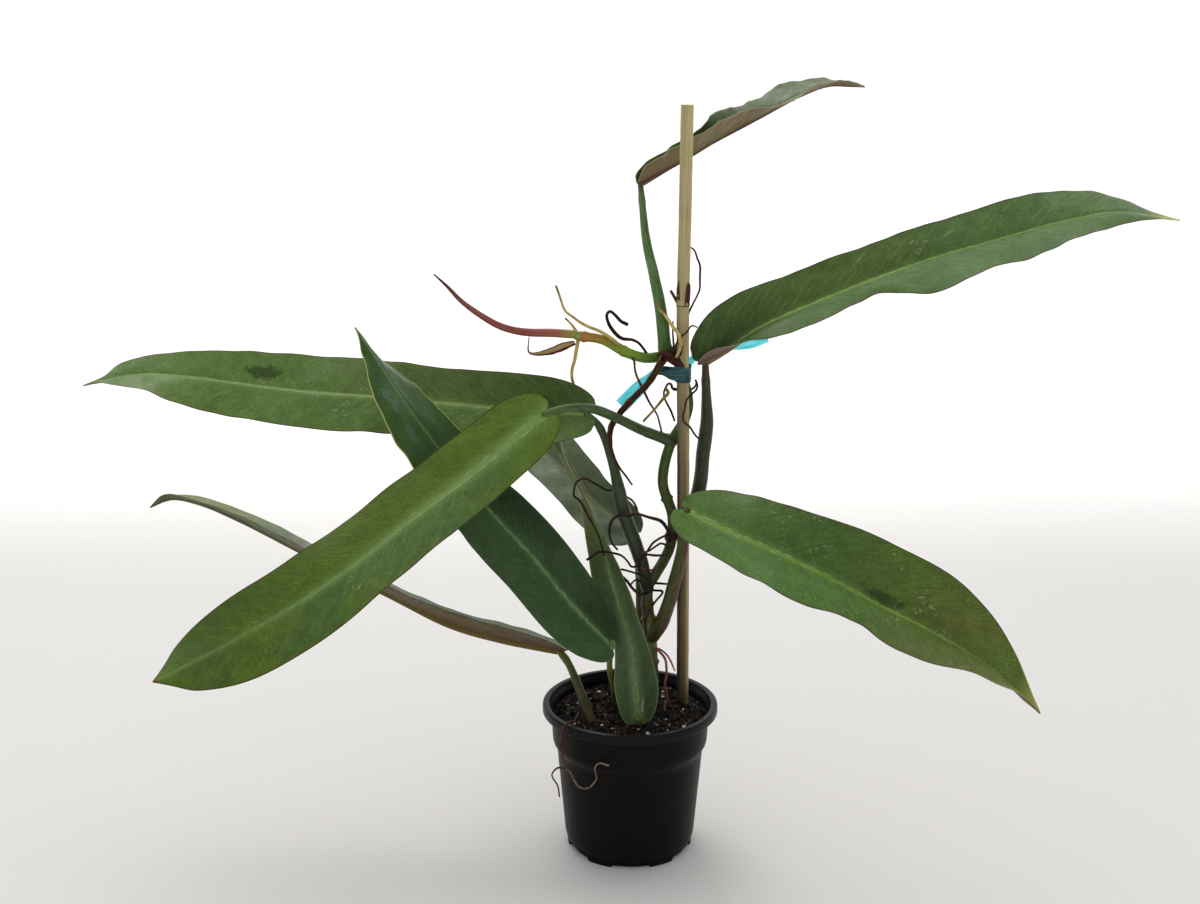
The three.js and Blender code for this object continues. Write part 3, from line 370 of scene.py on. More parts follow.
SPEAR_GIRTH = [2.9, 2.8, 2.6, 2.4, 2.1, 1.7, 1.2, .5]
SHOOT_TONES = [(0, "3A4A1C"), (.12, "52741A"), (.4, "76981E"), (.6, "86902A"), (.85, "A8802A"),
               (.97, "A87A34"), (1, "8FA040")]
SPEAR_TONES = [(0, "93A04A"), (.04, "A08A44"), (.1, "A0603C"), (.2, "94463A"), (.5, "7E3630"),
               (.85, "5F2622"), (1, "2E1A1C")]
BUD_SHEATH = [(-37, 13, 351), (-44, 12, 349), (-52, 11, 346), (-62, 10, 344), (-67, 10, 345),
              (-67, 11, 355)]
BUD_SHEATH_GIRTH = [1.6, 2.9, 2.6, 1.5, .6, .35]

# Dry sheaths: how far round each one curls and where its middle faces, in degrees. The bud sheath
# opens up and toward the front, so its pale lining shows.
BUD_SHEATH_SPAN = 210
BUD_SHEATH_TURN = 60
LONG_SCALE_SPAN = 300
LONG_SCALE_TURN = 60

# Long dry scale leaf at the top joint, and the root that climbs over the pot's lip
LONG_SCALE = [(23, 22.5, 341), (21.5, 17, 339.5), (18.6, 13.8, 335.5), (15.7, 12.8, 330.6),
              (9.5, 12, 322), (4.2, 11.6, 316.7), (-1, 12.4, 311), (-8, 15, 302), (-12, 13, 297),
              (-14, 8, 292), (-14, 5, 287), (-13, 5, 280), (-9, 6, 270), (-3, 8, 261), (1, 9, 255)]
LONG_SCALE_GIRTH = [3, 2.6, 2.2, 2, 2, 2.1, 2, 1.9, 1.6, 1.1, 0.8, 0.7, 0.6]
RIM_ROOT = [(-34, -2, 91), (-35, -8, 98), (-37, -24, 101), (-38, -37, 105), (-41, -42, 106.5),
            (-44.5, -45, 105), (-46, -45.5, 96), (-46, -44, 86), (-44, -43, 77), (-43, -42, 73)]
RIM_ROOT_TWIGS = [
    [(-43, -42, 73), (-49, -36, 71), (-53, -33, 64), (-49, -34, 57), (-48, -34, 49)],
    [(-43, -42, 73), (-40, -46, 72), (-35, -47, 63), (-29, -48, 62), (-23, -50, 70),
     (-24, -51, 78), (-21, -52, 82), (-15, -53, 81)],
]

# Tie film: a band round cane and stem, and two loose tails given by route and half widths
BAND_LOW = 323.5
BAND_HIGH = 333
BAND_POSTS = [(34.5, 19.5, 4.6), (34.9, 30, 4.95)]
BAND_THICKNESS = 0.8
BAND_FILM = .5
BAND_ROWS = 17
BAND_COLUMNS = 121
TAIL_LEFT = [(35.5, 14.2, 330), (30.5, 14.6, 329.6), (26.4, 16, 329.9), (21.8, 17.5, 331),
             (16.7, 18, 330.5), (9.3, 18, 323.1), (1.3, 17.5, 315.4), (-6.4, 17, 307.7)]
TAIL_LEFT_HALF = [4.4, 4.6, 3.2, 2.6, 4.2, 5, 5.1, 5.1]
TAIL_RIGHT = [(38, 34.6, 330.5), (41, 36.6, 334.5), (44.8, 38, 337.9), (50.3, 41, 340.1),
              (62.1, 46, 342), (78.2, 51, 343), (94.3, 56, 345.7)]
TAIL_RIGHT_HALF = [2.6, 2.6, 2.6, 2.6, 3.2, 3.6, 2.4]
TAIL_THICKNESS = 0.35
TAIL_GATHERED = .36

# Camera at the photograph's viewing angle
CAMERA_PLACE = (-20.6, -991, 529)
CAMERA_PITCH = 14.1
CAMERA_LENS = 46.5
CAMERA_SENSOR = 36

# Overhead lamp, in metres and watts
LAMP_PLACE = (-.35, 1.2, 1.9)
LAMP_AIM = (0, 0, .2)
LAMP_SIZE = 1.0
LAMP_POWER = 10


# Curves and shapes

def smooth_at(x, stations, values):
    """Smooth curve through values at stations, used for widths and angles along a piece."""
    x = np.asarray(x, float)
    at = np.asarray(stations, float)
    v = np.asarray(values, float)
    last = len(at) - 1
    low = np.maximum(np.arange(last + 1) - 1, 0)
    high = np.minimum(np.arange(last + 1) + 1, last)
    slope = (v[high] - v[low]) / (at[high] - at[low])
    i = np.clip(np.searchsorted(at, x, side="right") - 1, 0, last - 1)
    step = at[i + 1] - at[i]
    t = (x - at[i]) / step
    t2 = t * t
    t3 = t2 * t
    return ((2 * t3 - 3 * t2 + 1) * v[i] + (t3 - 2 * t2 + t) * step * slope[i]
            + (3 * t2 - 2 * t3) * v[i + 1] + (t3 - t2) * step * slope[i + 1])


def evenly(x, values):
    return smooth_at(x, np.linspace(0, 1, len(values)), values)


def stacked(*values):
    """Arrays spread to one shape and joined as the coordinates of its places."""
    return np.stack(np.broadcast_arrays(*values), -1)


def unit(vectors):
    return vectors / np.maximum(np.linalg.norm(vectors, axis=-1, keepdims=True), 1e-9)


class Route:
    """Smooth curve through points, read by the share of its length."""

    FINE = 80

    def __init__(self, points):
        p = np.array(points, float)
        ends = np.vstack([2 * p[0] - p[1], p, 2 * p[-1] - p[-2]])
        w = np.linspace(0, 1, self.FINE, endpoint=False)[:, None]
        pieces = []
        for k in range(len(p) - 1):
            a, b, c, d = ends[k:k + 4]
            ab, bc, cd = (max(np.linalg.norm(q) ** .5, 1e-4) for q in (b - a, c - b, d - c))
            start = ((b - a) / ab - (c - a) / (ab + bc) + (c - b) / bc) * bc
            end = ((c - b) / bc - (d - b) / (bc + cd) + (d - c) / cd) * bc
            pieces.append(b + start * w + (3 * (c - b) - 2 * start - end) * w ** 2
                          + (2 * (b - c) + start + end) * w ** 3)
        self.samples = np.vstack(pieces + [p[-1:]])
        steps = np.linalg.norm(np.diff(self.samples, axis=0), axis=1)
        self.lengths = np.concatenate([[0], np.cumsum(steps)])
        self.length = self.lengths[-1]

    def at(self, share):
        where = np.asarray(share, float) * self.length
        return np.stack([np.interp(where, self.lengths, self.samples[:, k]) for k in range(3)], -1)

    def heading(self, share):
        share = np.asarray(share, float)
        reach = max(.003, 1.5 / self.length)
        return unit(self.at(np.minimum(share + reach, 1)) - self.at(np.maximum(share - reach, 0)))


def ripple(x, y, seed, size):
    """Soft seeded unevenness between about -1 and 1, with swells about size across."""
    random = np.random.default_rng(seed)
    total = np.zeros(np.broadcast(x, y).shape)
    for _ in range(6):
        turn = random.uniform(0, 2 * math.pi)
        pace = 2 * math.pi / (size * random.uniform(.6, 1.6))
        phase = random.uniform(0, 2 * math.pi)
        total += np.sin(pace * (x * math.cos(turn) + y * math.sin(turn)) + phase)
    return total / 3


def grid_faces(rows, columns, wrap=False, first=0):
    """Quads of a grid of points, row by row, closed round its columns if wrap is set."""
    across = columns if wrap else columns - 1
    r, c = np.meshgrid(np.arange(rows - 1), np.arange(across), indexing="ij")
    near = first + r * columns
    after = (c + 1) % columns
    return np.stack([near + c, near + after, near + columns + after, near + columns + c],
                    -1).reshape(-1, 4).tolist()


def cap_faces(rows, sides):
    """Triangles that close the first and last rows of a round grid with the two points after it."""
    start = rows * sides
    last = start - sides
    faces = []
    for c in range(sides):
        after = (c + 1) % sides
        faces.append([start, after, c])
        faces.append([start + 1, last + c, last + after])
    return faces


class Shape:
    """Points, faces and point attributes of one piece, gathered in millimetres."""

    def __init__(self):
        self.points = []
        self.faces = []
        self.kinds = []
        self.place = []
        self.share = []
        self.count = 0

    def add(self, points, faces, kind=0, place=None, share=None):
        points = np.asarray(points, float).reshape(-1, 3)
        blank = np.zeros((len(points), 3))
        self.faces += [[self.count + i for i in face] for face in faces]
        self.kinds += [kind] * len(faces)
        self.points.append(points)
        self.place.append(blank if place is None else np.asarray(place, float).reshape(-1, 3))
        self.share.append(blank if share is None else np.asarray(share, float).reshape(-1, 3))
        self.count += len(points)

    def make(self, name, materials, replaced=(), sharp=55):
        mesh = bpy.data.meshes.new(name)
        points = np.vstack(self.points)
        mesh.from_pydata((points * MM).tolist(), [], self.faces)
        for label, values in (("place_mm", self.place), ("share", self.share)):
            made = mesh.attributes.new(label, "FLOAT_VECTOR", "POINT")
            made.data.foreach_set("vector", np.vstack(values).astype(np.float32).ravel())
        for material in materials:
            mesh.materials.append(material)
        mesh.polygons.foreach_set("material_index", self.kinds)
        mesh.polygons.foreach_set("use_smooth", [True] * len(mesh.polygons))
        mesh.set_sharp_from_angle(angle=math.radians(sharp))
        mesh.validate()
        mesh.update()
        piece = bpy.data.objects.new(name, mesh)
        bpy.context.scene.collection.objects.link(piece)
        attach(piece, BODY)
        if replaced:
            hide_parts(*replaced)
        return piece


def carried_frames(headings):
    """Side and upper directions along a route, turned as little as possible from row to row."""
    start = np.cross(headings[0], (0, 0, 1) if abs(headings[0][2]) < .9 else (1, 0, 0))
    sides = [unit(start)]
    for heading in headings[1:]:
        side = sides[-1] - heading * np.dot(sides[-1], heading)
        sides.append(unit(side))
    sides = np.array(sides)
    return sides, np.cross(headings, sides)


def add_tube(shape, points, girth, kind=0, sides=10, spacing=1.6, rings=(), ring_width=1.2,
             uneven=0, seed=0, stretch=None, sawn=False):
    """Round limb along a route, with knots at rings and a seeded unevenness. Its ends are rounded,
    or else flat with a bore in the last one."""
    route = Route(points)
    count = max(2 * len(points), int(route.length / spacing))
    shares = np.linspace(0, 1, count + 1)
    headings = route.heading(shares)
    side, upper = carried_frames(headings)
    centres = route.at(shares)
    along = shares * route.length
    radius = evenly(shares, girth)
    for place, height in rings:
        radius = radius + height * np.exp(-((along - place * route.length) / ring_width) ** 2)
    lean = np.radians([80, 55, 28])
    first, last = radius[0], radius[-1]
    centres = np.vstack([centres[:1] - headings[:1] * first * np.sin(lean)[:, None], centres,
                         centres[-1:] + headings[-1:] * last * np.sin(lean[::-1])[:, None]])
    radius = np.concatenate([first * np.cos(lean), radius, last * np.cos(lean[::-1])])
    if sawn:
        centres[-3:] = centres[-4] + headings[-1] * np.array([[.05], [-.3], [-4]])
        radius[-3:] = last * np.array([.94, .62, .55])
    edge = [np.repeat(rows[:1], 3, 0) for rows in (side, upper)]
    tail = [np.repeat(rows[-1:], 3, 0) for rows in (side, upper)]
    side = np.vstack([edge[0], side, tail[0]])
    upper = np.vstack([edge[1], upper, tail[1]])
    shares = np.concatenate([[0] * 3, shares, [1] * 3])
    along = np.concatenate([-first * np.sin(lean), along, route.length + last * np.sin(lean[::-1])])
    angles = np.linspace(0, 2 * math.pi, sides, endpoint=False)
    reach = np.repeat(radius[:, None], sides, 1)
    if uneven:
        phases = np.random.default_rng(seed).uniform(0, 2 * math.pi, 4)
        swell = (np.sin(along / 2.9 + phases[0])[:, None] * np.cos(angles + phases[1])
                 + np.sin(along / 6.1 + phases[2])[:, None] * np.cos(2 * angles + phases[3]))
        reach = reach * (1 + uneven * swell / 2)
    if stretch is not None:
        reach = reach * stretch(angles[None, :], shares[:, None])
    spoke = side[:, None] * np.cos(angles)[None, :, None] + upper[:, None] * np.sin(angles)[None, :, None]
    grid = centres[:, None] + spoke * reach[..., None]
    tips = np.vstack([centres[0], centres[-1]])
    where = stacked(angles * radius.mean(), along[:, None], spoke[..., 0]).reshape(-1, 3)
    shared = stacked(angles / (2 * math.pi), shares[:, None], spoke[..., 1]).reshape(-1, 3)
    faces = grid_faces(len(centres), sides, wrap=True) + cap_faces(len(centres), sides)
    shape.add(np.vstack([grid.reshape(-1, 3), tips]), faces, kind,
              np.vstack([where, [[0, along[0], 0], [0, along[-1], 0]]]),
              np.vstack([shared, [[0, 0, 0], [0, 1, 0]]]))


def add_sheet(shape, outer, thickness, kinds=(0, 0), place=None, share=None, normals=None):
    """Thin closed body whose upper face is a grid of points, thinned towards -normals."""
    rows, columns = outer.shape[:2]
    if normals is None:
        normals = unit(np.cross(np.gradient(outer, axis=1), np.gradient(outer, axis=0)))
    thickness = np.broadcast_to(thickness, (rows, columns))
    lower = outer - normals * thickness[..., None]
    count = rows * columns
    upper_faces = [face[::-1] for face in grid_faces(rows, columns)]
    lower_faces = grid_faces(rows, columns, first=count)
    top = np.arange(count).reshape(rows, columns)
    loop = np.concatenate([top[0, :], top[1:, -1], top[-1, -2::-1], top[-2:0:-1, 0]]).tolist()
    edges = [[a, b, b + count, a + count] for a, b in zip(loop, loop[1:] + loop[:1])]
    points = np.vstack([outer.reshape(-1, 3), lower.reshape(-1, 3)])
    double = lambda values: None if values is None else np.vstack([values.reshape(-1, 3)] * 2)
    shape.add(points, upper_faces + lower_faces + edges, kinds[0], double(place), double(share))
    start = len(shape.kinds) - len(edges) - len(lower_faces)
    for i in range(start, start + len(lower_faces)):
        shape.kinds[i] = kinds[1]


# Materials

def linear(code):
    """Linear colour of an sRGB hex code."""
    parts = [int(code[i:i + 2], 16) / 255 for i in (0, 2, 4)]
    return tuple(c / 12.92 if c <= .04045 else ((c + .055) / 1.055) ** 2.4 for c in parts) + (1,)


# Kinds of node: type, the inputs that its values go to, the output that is read, and its settings
PLUS = ("ShaderNodeMath", (0, 1), 0, {"operation": "ADD"})
LESS = ("ShaderNodeMath", (0, 1), 0, {"operation": "SUBTRACT"})
TIMES = ("ShaderNodeMath", (0, 1), 0, {"operation": "MULTIPLY"})
OVER = ("ShaderNodeMath", (0, 1), 0, {"operation": "DIVIDE"})
MOST = ("ShaderNodeMath", (0, 1), 0, {"operation": "MAXIMUM"})
POWER = ("ShaderNodeMath", (0, 1), 0, {"operation": "POWER"})
SIZE = ("ShaderNodeMath", (0,), 0, {"operation": "ABSOLUTE"})
FRACTION = ("ShaderNodeMath", (0,), 0, {"operation": "FRACT"})
DOT = ("ShaderNodeVectorMath", (0, 1), "Value", {"operation": "DOT_PRODUCT"})
LENGTH = ("ShaderNodeVectorMath", (0,), "Value", {"operation": "LENGTH"})
EASED = ("ShaderNodeMapRange", (0, 1, 2, 3, 4), 0, {"interpolation_type": "SMOOTHSTEP"})
EVEN = ("ShaderNodeMapRange", (0, 1, 2, 3, 4), 0, {"interpolation_type": "LINEAR"})
BLEND = ("ShaderNodeMix", (0, 6, 7), 2, {"data_type": "RGBA"})
TINT = ("ShaderNodeMix", (0, 6, 7), 2, {"data_type": "RGBA", "blend_type": "MULTIPLY"})
BANDS = ("ShaderNodeValToRGB", (0,), 0, {})
VECTOR = ("ShaderNodeCombineXYZ", (0, 1, 2), 0, {})
PART_X = ("ShaderNodeSeparateXYZ", (0,), 0, {})
PART_Y = ("ShaderNodeSeparateXYZ", (0,), 1, {})
PART_Z = ("ShaderNodeSeparateXYZ", (0,), 2, {})
MOVED = ("ShaderNodeMapping", (0, 1, 2, 3), 0, {})
SCALED = ("ShaderNodeMapping", (0, 3), 0, {})
NOISE = ("ShaderNodeTexNoise", ("Vector", "Scale", "Detail", "Roughness", "Distortion"), 0, {})
CELLS = ("ShaderNodeTexVoronoi", ("Vector", "Scale"), "Distance", {})
READ = ("ShaderNodeAttribute", (), "Vector", {})
PLACE = ("ShaderNodeTexCoord", (), "Object", {})
BUMP = ("ShaderNodeBump", ("Height", "Strength", "Distance"), 0, {})
OUTPUT = ("ShaderNodeOutputMaterial", (0,), None, {})


def add_node(tree, kind, *values, **settings):
    """Adds a node of a kind with its settings; values fill its inputs, or are sockets to link."""
    label, inputs, output, usual = kind
    made = tree.nodes.new(label)
    for name, setting in {**usual, **settings}.items():
        setattr(made, name, setting)
    for key, value in zip(inputs, values):
        if isinstance(value, bpy.types.NodeSocket):
            tree.links.new(value, made.inputs[key])
        else:
            made.inputs[key].default_value = linear(value) if isinstance(value, str) else value
    return made if output is None else made.outputs[output]


class Finish:
    """One procedural material: its node tree, its places on the piece, and its shader."""

    def __init__(self, name, ior, shine=.5, **sockets):
        self.material = bpy.data.materials.new(name)
        self.material.use_nodes = True
        self.tree = self.material.node_tree
        self.tree.nodes.clear()
        self.sockets = {"IOR": ior, "Specular IOR Level": shine, **sockets}
        self.place = self.add(READ, attribute_name="place_mm")
        self.x, self.y, self.z = self.parts(self.place)
        self.u, self.v, self.w = self.parts(self.add(READ, attribute_name="share"))

    def add(self, kind, *values, **settings):
        return add_node(self.tree, kind, *values, **settings)

    def parts(self, vector):
        return [self.add(part, vector) for part in (PART_X, PART_Y, PART_Z)]

    def drawn(self, pace):
        """Places whose unevenness runs lengthwise, at that share of its pace across."""
        return self.add(SCALED, self.place, (1, pace, 1))

    def finish(self, colour, roughness=None, bump=None, depth=.1):
        """Links the shader: colour, roughness, and a bump of depth millimetres."""
        inputs = {**self.sockets, "Base Color": colour}
        if roughness is not None:
            inputs["Roughness"] = roughness
        if bump is not None:
            inputs["Normal"] = self.add(BUMP, bump, 1.0, depth * MM)
        shader = self.add(("ShaderNodeBsdfPrincipled", tuple(inputs), 0, {}), *inputs.values())
        self.add(OUTPUT, shader)
        return self.material


def set_stops(colour, stops):
    """Gives a colour band its (place, hex code) stops, and returns its colour."""
    ramp = colour.node.color_ramp
    while len(ramp.elements) > 1:
        ramp.elements.remove(ramp.elements[-1])
    ramp.elements[0].position = stops[0][0]
    ramp.elements[0].color = linear(stops[0][1])
    for place, code in stops[1:]:
        ramp.elements.new(place).color = linear(code)
    return colour


def mottle(f, vector, size, detail, *span):
    """Uneven mask with swells about size millimetres across. The first two values of span are the
    noise at its start and end, and the next two, if given, are the mask there."""
    return f.add(EASED, f.add(NOISE, vector, 1 / size, detail), *span)


def dots(f, vector, spacing, radius, share):
    """Mask of scattered round dots, radius millimetres each, in that share of the cells."""
    near = f.add(CELLS, vector, 1 / spacing)
    chosen = f.add(PART_X, near.node.outputs["Color"])
    round_dots = f.add(EASED, near, radius / spacing * .5, radius / spacing, 1, 0)
    return f.add(TIMES, round_dots, f.add(EASED, chosen, share - .02, share + .02, 1, 0))


def leaf_grain(f):
    """Places on either face of a leaf: millimetres from its rib, the flat place, where along the rib
    the side vein through the place leaves it, and the place along such veins. Side veins leave at
    about 40 degrees and bend towards the tip, never quite evenly."""
    across = f.add(SIZE, f.x)
    right = f.add(EASED, f.x, -.4, .4)
    flat = f.add(SCALED, f.place, (1, 1, 0))
    bend = f.add(TIMES, f.add(TIMES, across, across), VEIN_BEND)
    start = f.add(LESS, f.y, f.add(PLUS, f.add(TIMES, across, VEIN_LEAN), bend))
    wobble = f.add(TIMES, f.add(NOISE, flat, 1 / 30, 1), 14)
    start = f.add(PLUS, start, f.add(PLUS, wobble, f.add(TIMES, right, VEIN_SPACING / 2)))
    strands = f.add(VECTOR, start, f.add(TIMES, across, .09), f.add(TIMES, right, 9))
    return across, flat, start, strands


def vein_lines(f, flat, start, spacing, width):
    """Mask of side veins a spacing apart, broken here and there, and faded at rib and margin."""
    across = f.add(SIZE, f.x)
    phase = f.add(LESS, f.add(FRACTION, f.add(OVER, start, spacing)), .5)
    off = f.add(TIMES, f.add(SIZE, phase), spacing)
    line = f.add(EASED, off, 0, width, 1, 0)
    fade = f.add(TIMES, f.add(EASED, across, .6, 3), f.add(EASED, f.z, .8, 7))
    broken = mottle(f, flat, 16, 3, .4, .62)
    return f.add(TIMES, f.add(TIMES, line, fade), broken)


def scratches(f, flat, amount):
    """Mask of thin pale scratches and scuffs, in patches over that share of the face."""
    curls = f.add(NOISE, f.add(SCALED, flat, (1, .45, 1)), 1 / 9, 2, .5, 1.2)
    line = f.add(EASED, f.add(SIZE, f.add(LESS, curls, .5)), .003, .012, 1, 0)
    patch = mottle(f, flat, 24, 2, .66 - .22 * amount, .74 - .22 * amount)
    broken = mottle(f, flat, 2.5, 2, .46, .56)
    return f.add(TIMES, f.add(TIMES, line, patch), broken)


def blotch(f, flat, centre, size, turn, ragged):
    """Mask of one ragged oval mark on a leaf, by its centre, half sizes and turn in degrees."""
    turned = f.add(MOVED, flat, (0, 0, 0), (0, 0, math.radians(-turn)), (1, 1, 1))
    angle = math.radians(-turn)
    cx = centre[0] * math.cos(angle) - centre[1] * math.sin(angle)
    cy = centre[0] * math.sin(angle) + centre[1] * math.cos(angle)
    scale = (1 / size[0], 1 / size[1], 1)
    far = f.add(LENGTH, f.add(MOVED, turned, (-cx / size[0], -cy / size[1], 0), (0, 0, 0), scale))
    rough = f.add(EVEN, f.add(NOISE, flat, 1 / 4, 3), .3, .7, -ragged, ragged)
    return f.add(EASED, f.add(PLUS, far, rough), .45, 1.0, 1, 0)


def leaf_skin(name, look, colours):
    """Living aroid leaf, upper face: a thick waxed skin over green flesh. It is satin, with a pale
    sunken rib, faint side veins, a thin horny margin, and dust and scuffs on it."""
    f = Finish(name + "_upper_skin", 1.45, look.get("shine", .32))
    across, flat, start, along_veins = leaf_grain(f)

    # Greens of the two halves, the base and the far end, with slow drifts between them
    halves = f.add(EASED, f.x, -3, 3)
    colour = f.add(BLEND, halves, look["left"], look["right"])
    colour = f.add(BLEND, f.add(EASED, f.v, *look.get("turns", (.35, .85))), colour, look["far"])
    if "near" in look:
        colour = f.add(BLEND, f.add(EASED, f.v, .04, .24, .85, 0), colour, look["near"])
    drift = f.add(NOISE, f.add(SCALED, flat, (1, .5, 1)), 1 / 30, 3)
    colour = f.add(BLEND, f.add(EASED, drift, .4, .68, 0, .55), colour, look["patch"])
    cloud = f.add(EASED, f.add(NOISE, flat, 1 / 10, 4, .6), .35, .65, .9, 1.1)
    fine = f.add(EASED, f.add(NOISE, flat, 1 / 1.7, 3, .6), .35, .65, .86, 1.14)
    strands = f.add(EASED, f.add(NOISE, along_veins, 1 / 1.3, 3, .6), .34, .66, .86, 1.14)
    colour = f.add(TINT, 1.0, colour, f.add(TIMES, f.add(TIMES, cloud, fine), strands))

    wide = vein_lines(f, flat, start, VEIN_SPACING, 1.6)
    narrow = vein_lines(f, flat, start, VEIN_SPACING / 4, .6)
    colour = f.add(BLEND, f.add(TIMES, wide, look["veins"]), colour, look["rib"])
    colour = f.add(BLEND, f.add(TIMES, narrow, look["veins"]), colour, look["rib"])

    # Rib: a pale ragged band with a paler line at either side, and a soft glow beside it that is a painted
    # sheen
    width = f.add(EVEN, f.v, 0, 1, *look["rib_width"])
    feather = f.add(EVEN, f.add(NOISE, f.add(SCALED, flat, (1, .4, 1)), 1 / 1.5, 3), .3, .7, -.3, .3)
    reach = f.add(PLUS, f.add(OVER, across, width), feather)
    glow = f.add(EASED, reach, .8, 4.5, look.get("glow", .42), 0)
    glow = f.add(TIMES, glow, f.add(EASED, f.v, 0, .9, 1, .35))
    colour = f.add(BLEND, glow, colour, look["rib"])
    worn = mottle(f, flat, 7, 3, .3, .7, .72, 1)
    plain = f.add(EASED, f.v, *look.get("rib_fades", (.8, 1)), colours.rib_strength, .25)
    rib = f.add(TIMES, f.add(TIMES, f.add(EASED, reach, .6, 1.15, 1, 0), worn), plain)
    colour = f.add(BLEND, rib, colour, look["rib"])
    edge_line = f.add(EASED, f.add(SIZE, f.add(LESS, f.add(OVER, across, width), 1.05)), .02, .3, 1, 0)
    flecks = f.add(EASED, f.add(NOISE, f.add(SCALED, flat, (1, .25, 1)), 1 / 1.4, 2), .44, .6)
    edge_line = f.add(TIMES, f.add(TIMES, edge_line, flecks), f.add(EASED, f.v, .1, .75, .7, 0))
    colour = f.add(BLEND, edge_line, colour, look.get("rib_edge", "A6C482"))

    for centre, size, turn, ragged, strength, code in look.get("marks", ()):
        mask = blotch(f, flat, centre, size, turn, ragged)
        colour = f.add(BLEND, f.add(TIMES, mask, strength), colour, code)

    for centre, size, code in look.get("speckled", ()):
        fleck = f.add(TIMES, blotch(f, flat, centre, size, 0, .9), dots(f, flat, 1.5, .3, .6))
        colour = f.add(BLEND, fleck, colour, code)

    # Dust specks, drawn about twice their real size so that they show, and scratches
    dust = f.add(MOST, dots(f, flat, 5, .42, look["dust"]), dots(f, flat, 2.3, .26, look["dust"]))
    dusty = mottle(f, flat, 17, 2, .5, .66)
    specks = f.add(MOST, f.add(TIMES, dust, dusty), scratches(f, flat, look["dust"]))
    colour = f.add(BLEND, f.add(TIMES, specks, .5), colour, "B9C6A4")

    # Horny margin and dry tip
    colour = f.add(BLEND, f.add(EASED, f.z, .8, 3.2, .22, 0), colour, look["patch"])
    margin = f.add(BLEND, f.add(EASED, f.v, *look.get("margin_turns", (.72, .9))), look["margin"],
                   look.get("end_margin", look["margin"]))
    colour = f.add(BLEND, f.add(EASED, f.z, .35, 1.0, .85, 0), colour, margin)
    colour = f.add(BLEND, f.add(EASED, f.v, *look.get("tip_turns", (.968, .995))), colour, look["tip"])
    low = colours.gloss - .06
    gloss = mottle(f, flat, 8, 4, .3, .7, low, low + .16)
    relief = f.add(PLUS, wide, f.add(TIMES, narrow, .4))
    height = f.add(PLUS, f.add(NOISE, flat, 1 / 1.6, 2), f.add(TIMES, relief, -.5))
    return f.finish(colour, f.add(PLUS, gloss, f.add(TIMES, specks, .25)), height, .07)


def leaf_back(name, look, colours):
    """Living aroid leaf, lower face: duller and browner than the upper, with raised veins."""
    f = Finish(name + "_lower_skin", 1.42, .3)
    across, flat, start, along_veins = leaf_grain(f)
    drift = f.add(NOISE, f.add(SCALED, flat, (1, .4, 1)), 1 / 18, 4)
    colour = f.add(BLEND, f.add(EASED, drift, .38, .66, 0, .6), look["under"], look["under_patch"])
    if "under_far" in look:
        colour = f.add(BLEND, f.add(EASED, f.v, .45, .7), colour, look["under_far"])
    strands = f.add(EASED, f.add(NOISE, along_veins, 1 / 1.5, 3, .6), .34, .66, .84, 1.14)
    fine = mottle(f, flat, 1.6, 3, .35, .65, .88, 1.12)
    colour = f.add(TINT, 1.0, colour, f.add(TIMES, strands, fine))
    wide = vein_lines(f, flat, start, VEIN_SPACING, 1.2)
    colour = f.add(BLEND, f.add(TIMES, wide, .3), colour, look["keel"])
    width = f.add(EVEN, f.v, 0, 1, 2.2, .8)
    rib = f.add(EASED, f.add(OVER, across, width), .7, 1.25, .85, 0)
    colour = f.add(BLEND, rib, colour, look["keel"])
    colour = f.add(BLEND, f.add(EASED, f.z, .35, 1.1, .75, 0), colour, look["under_margin"])
    low = colours.gloss + .06
    gloss = mottle(f, flat, 6, 3, .3, .7, low, low + .18)
    return f.finish(colour, gloss, f.add(PLUS, f.add(NOISE, flat, 1 / 1.2, 2), wide), .1)


def stalk_skin(name, stops, blush):
    """Living leaf stalk: smooth waxed skin over stringy flesh, so it is satin with fine lengthwise
    streaks, and has pale corky pores. blush is the colour of its right side, and how strong."""
    f = Finish(name, 1.45, .4)
    colour = set_stops(f.add(BANDS, f.v), stops)
    drift = mottle(f, f.drawn(.3), 5, 3, .3, .7, -.35, .35)
    side = f.add(EASED, f.add(PLUS, f.z, drift), -.1, .75, 0, blush[1])
    colour = f.add(BLEND, side, colour, blush[0])
    streaks = f.add(NOISE, f.drawn(.1), 1 / 1.1, 4, .6)
    colour = f.add(TINT, 1.0, colour, f.add(EASED, streaks, .34, .66, .74, 1.26))
    patches = f.add(NOISE, f.drawn(.5), 1 / 3.2, 4)
    colour = f.add(BLEND, f.add(EASED, patches, .55, .68, 0, .5), colour, "232A1A")
    pores = dots(f, f.drawn(.5), 2.1, .3, .5)
    colour = f.add(BLEND, f.add(TIMES, pores, .42), colour, "9AA37A")
    gloss = mottle(f, f.place, 3, 3, .3, .7, .34, .5)
    return f.finish(colour, gloss, f.add(PLUS, streaks, f.add(TIMES, pores, .8)), .12)


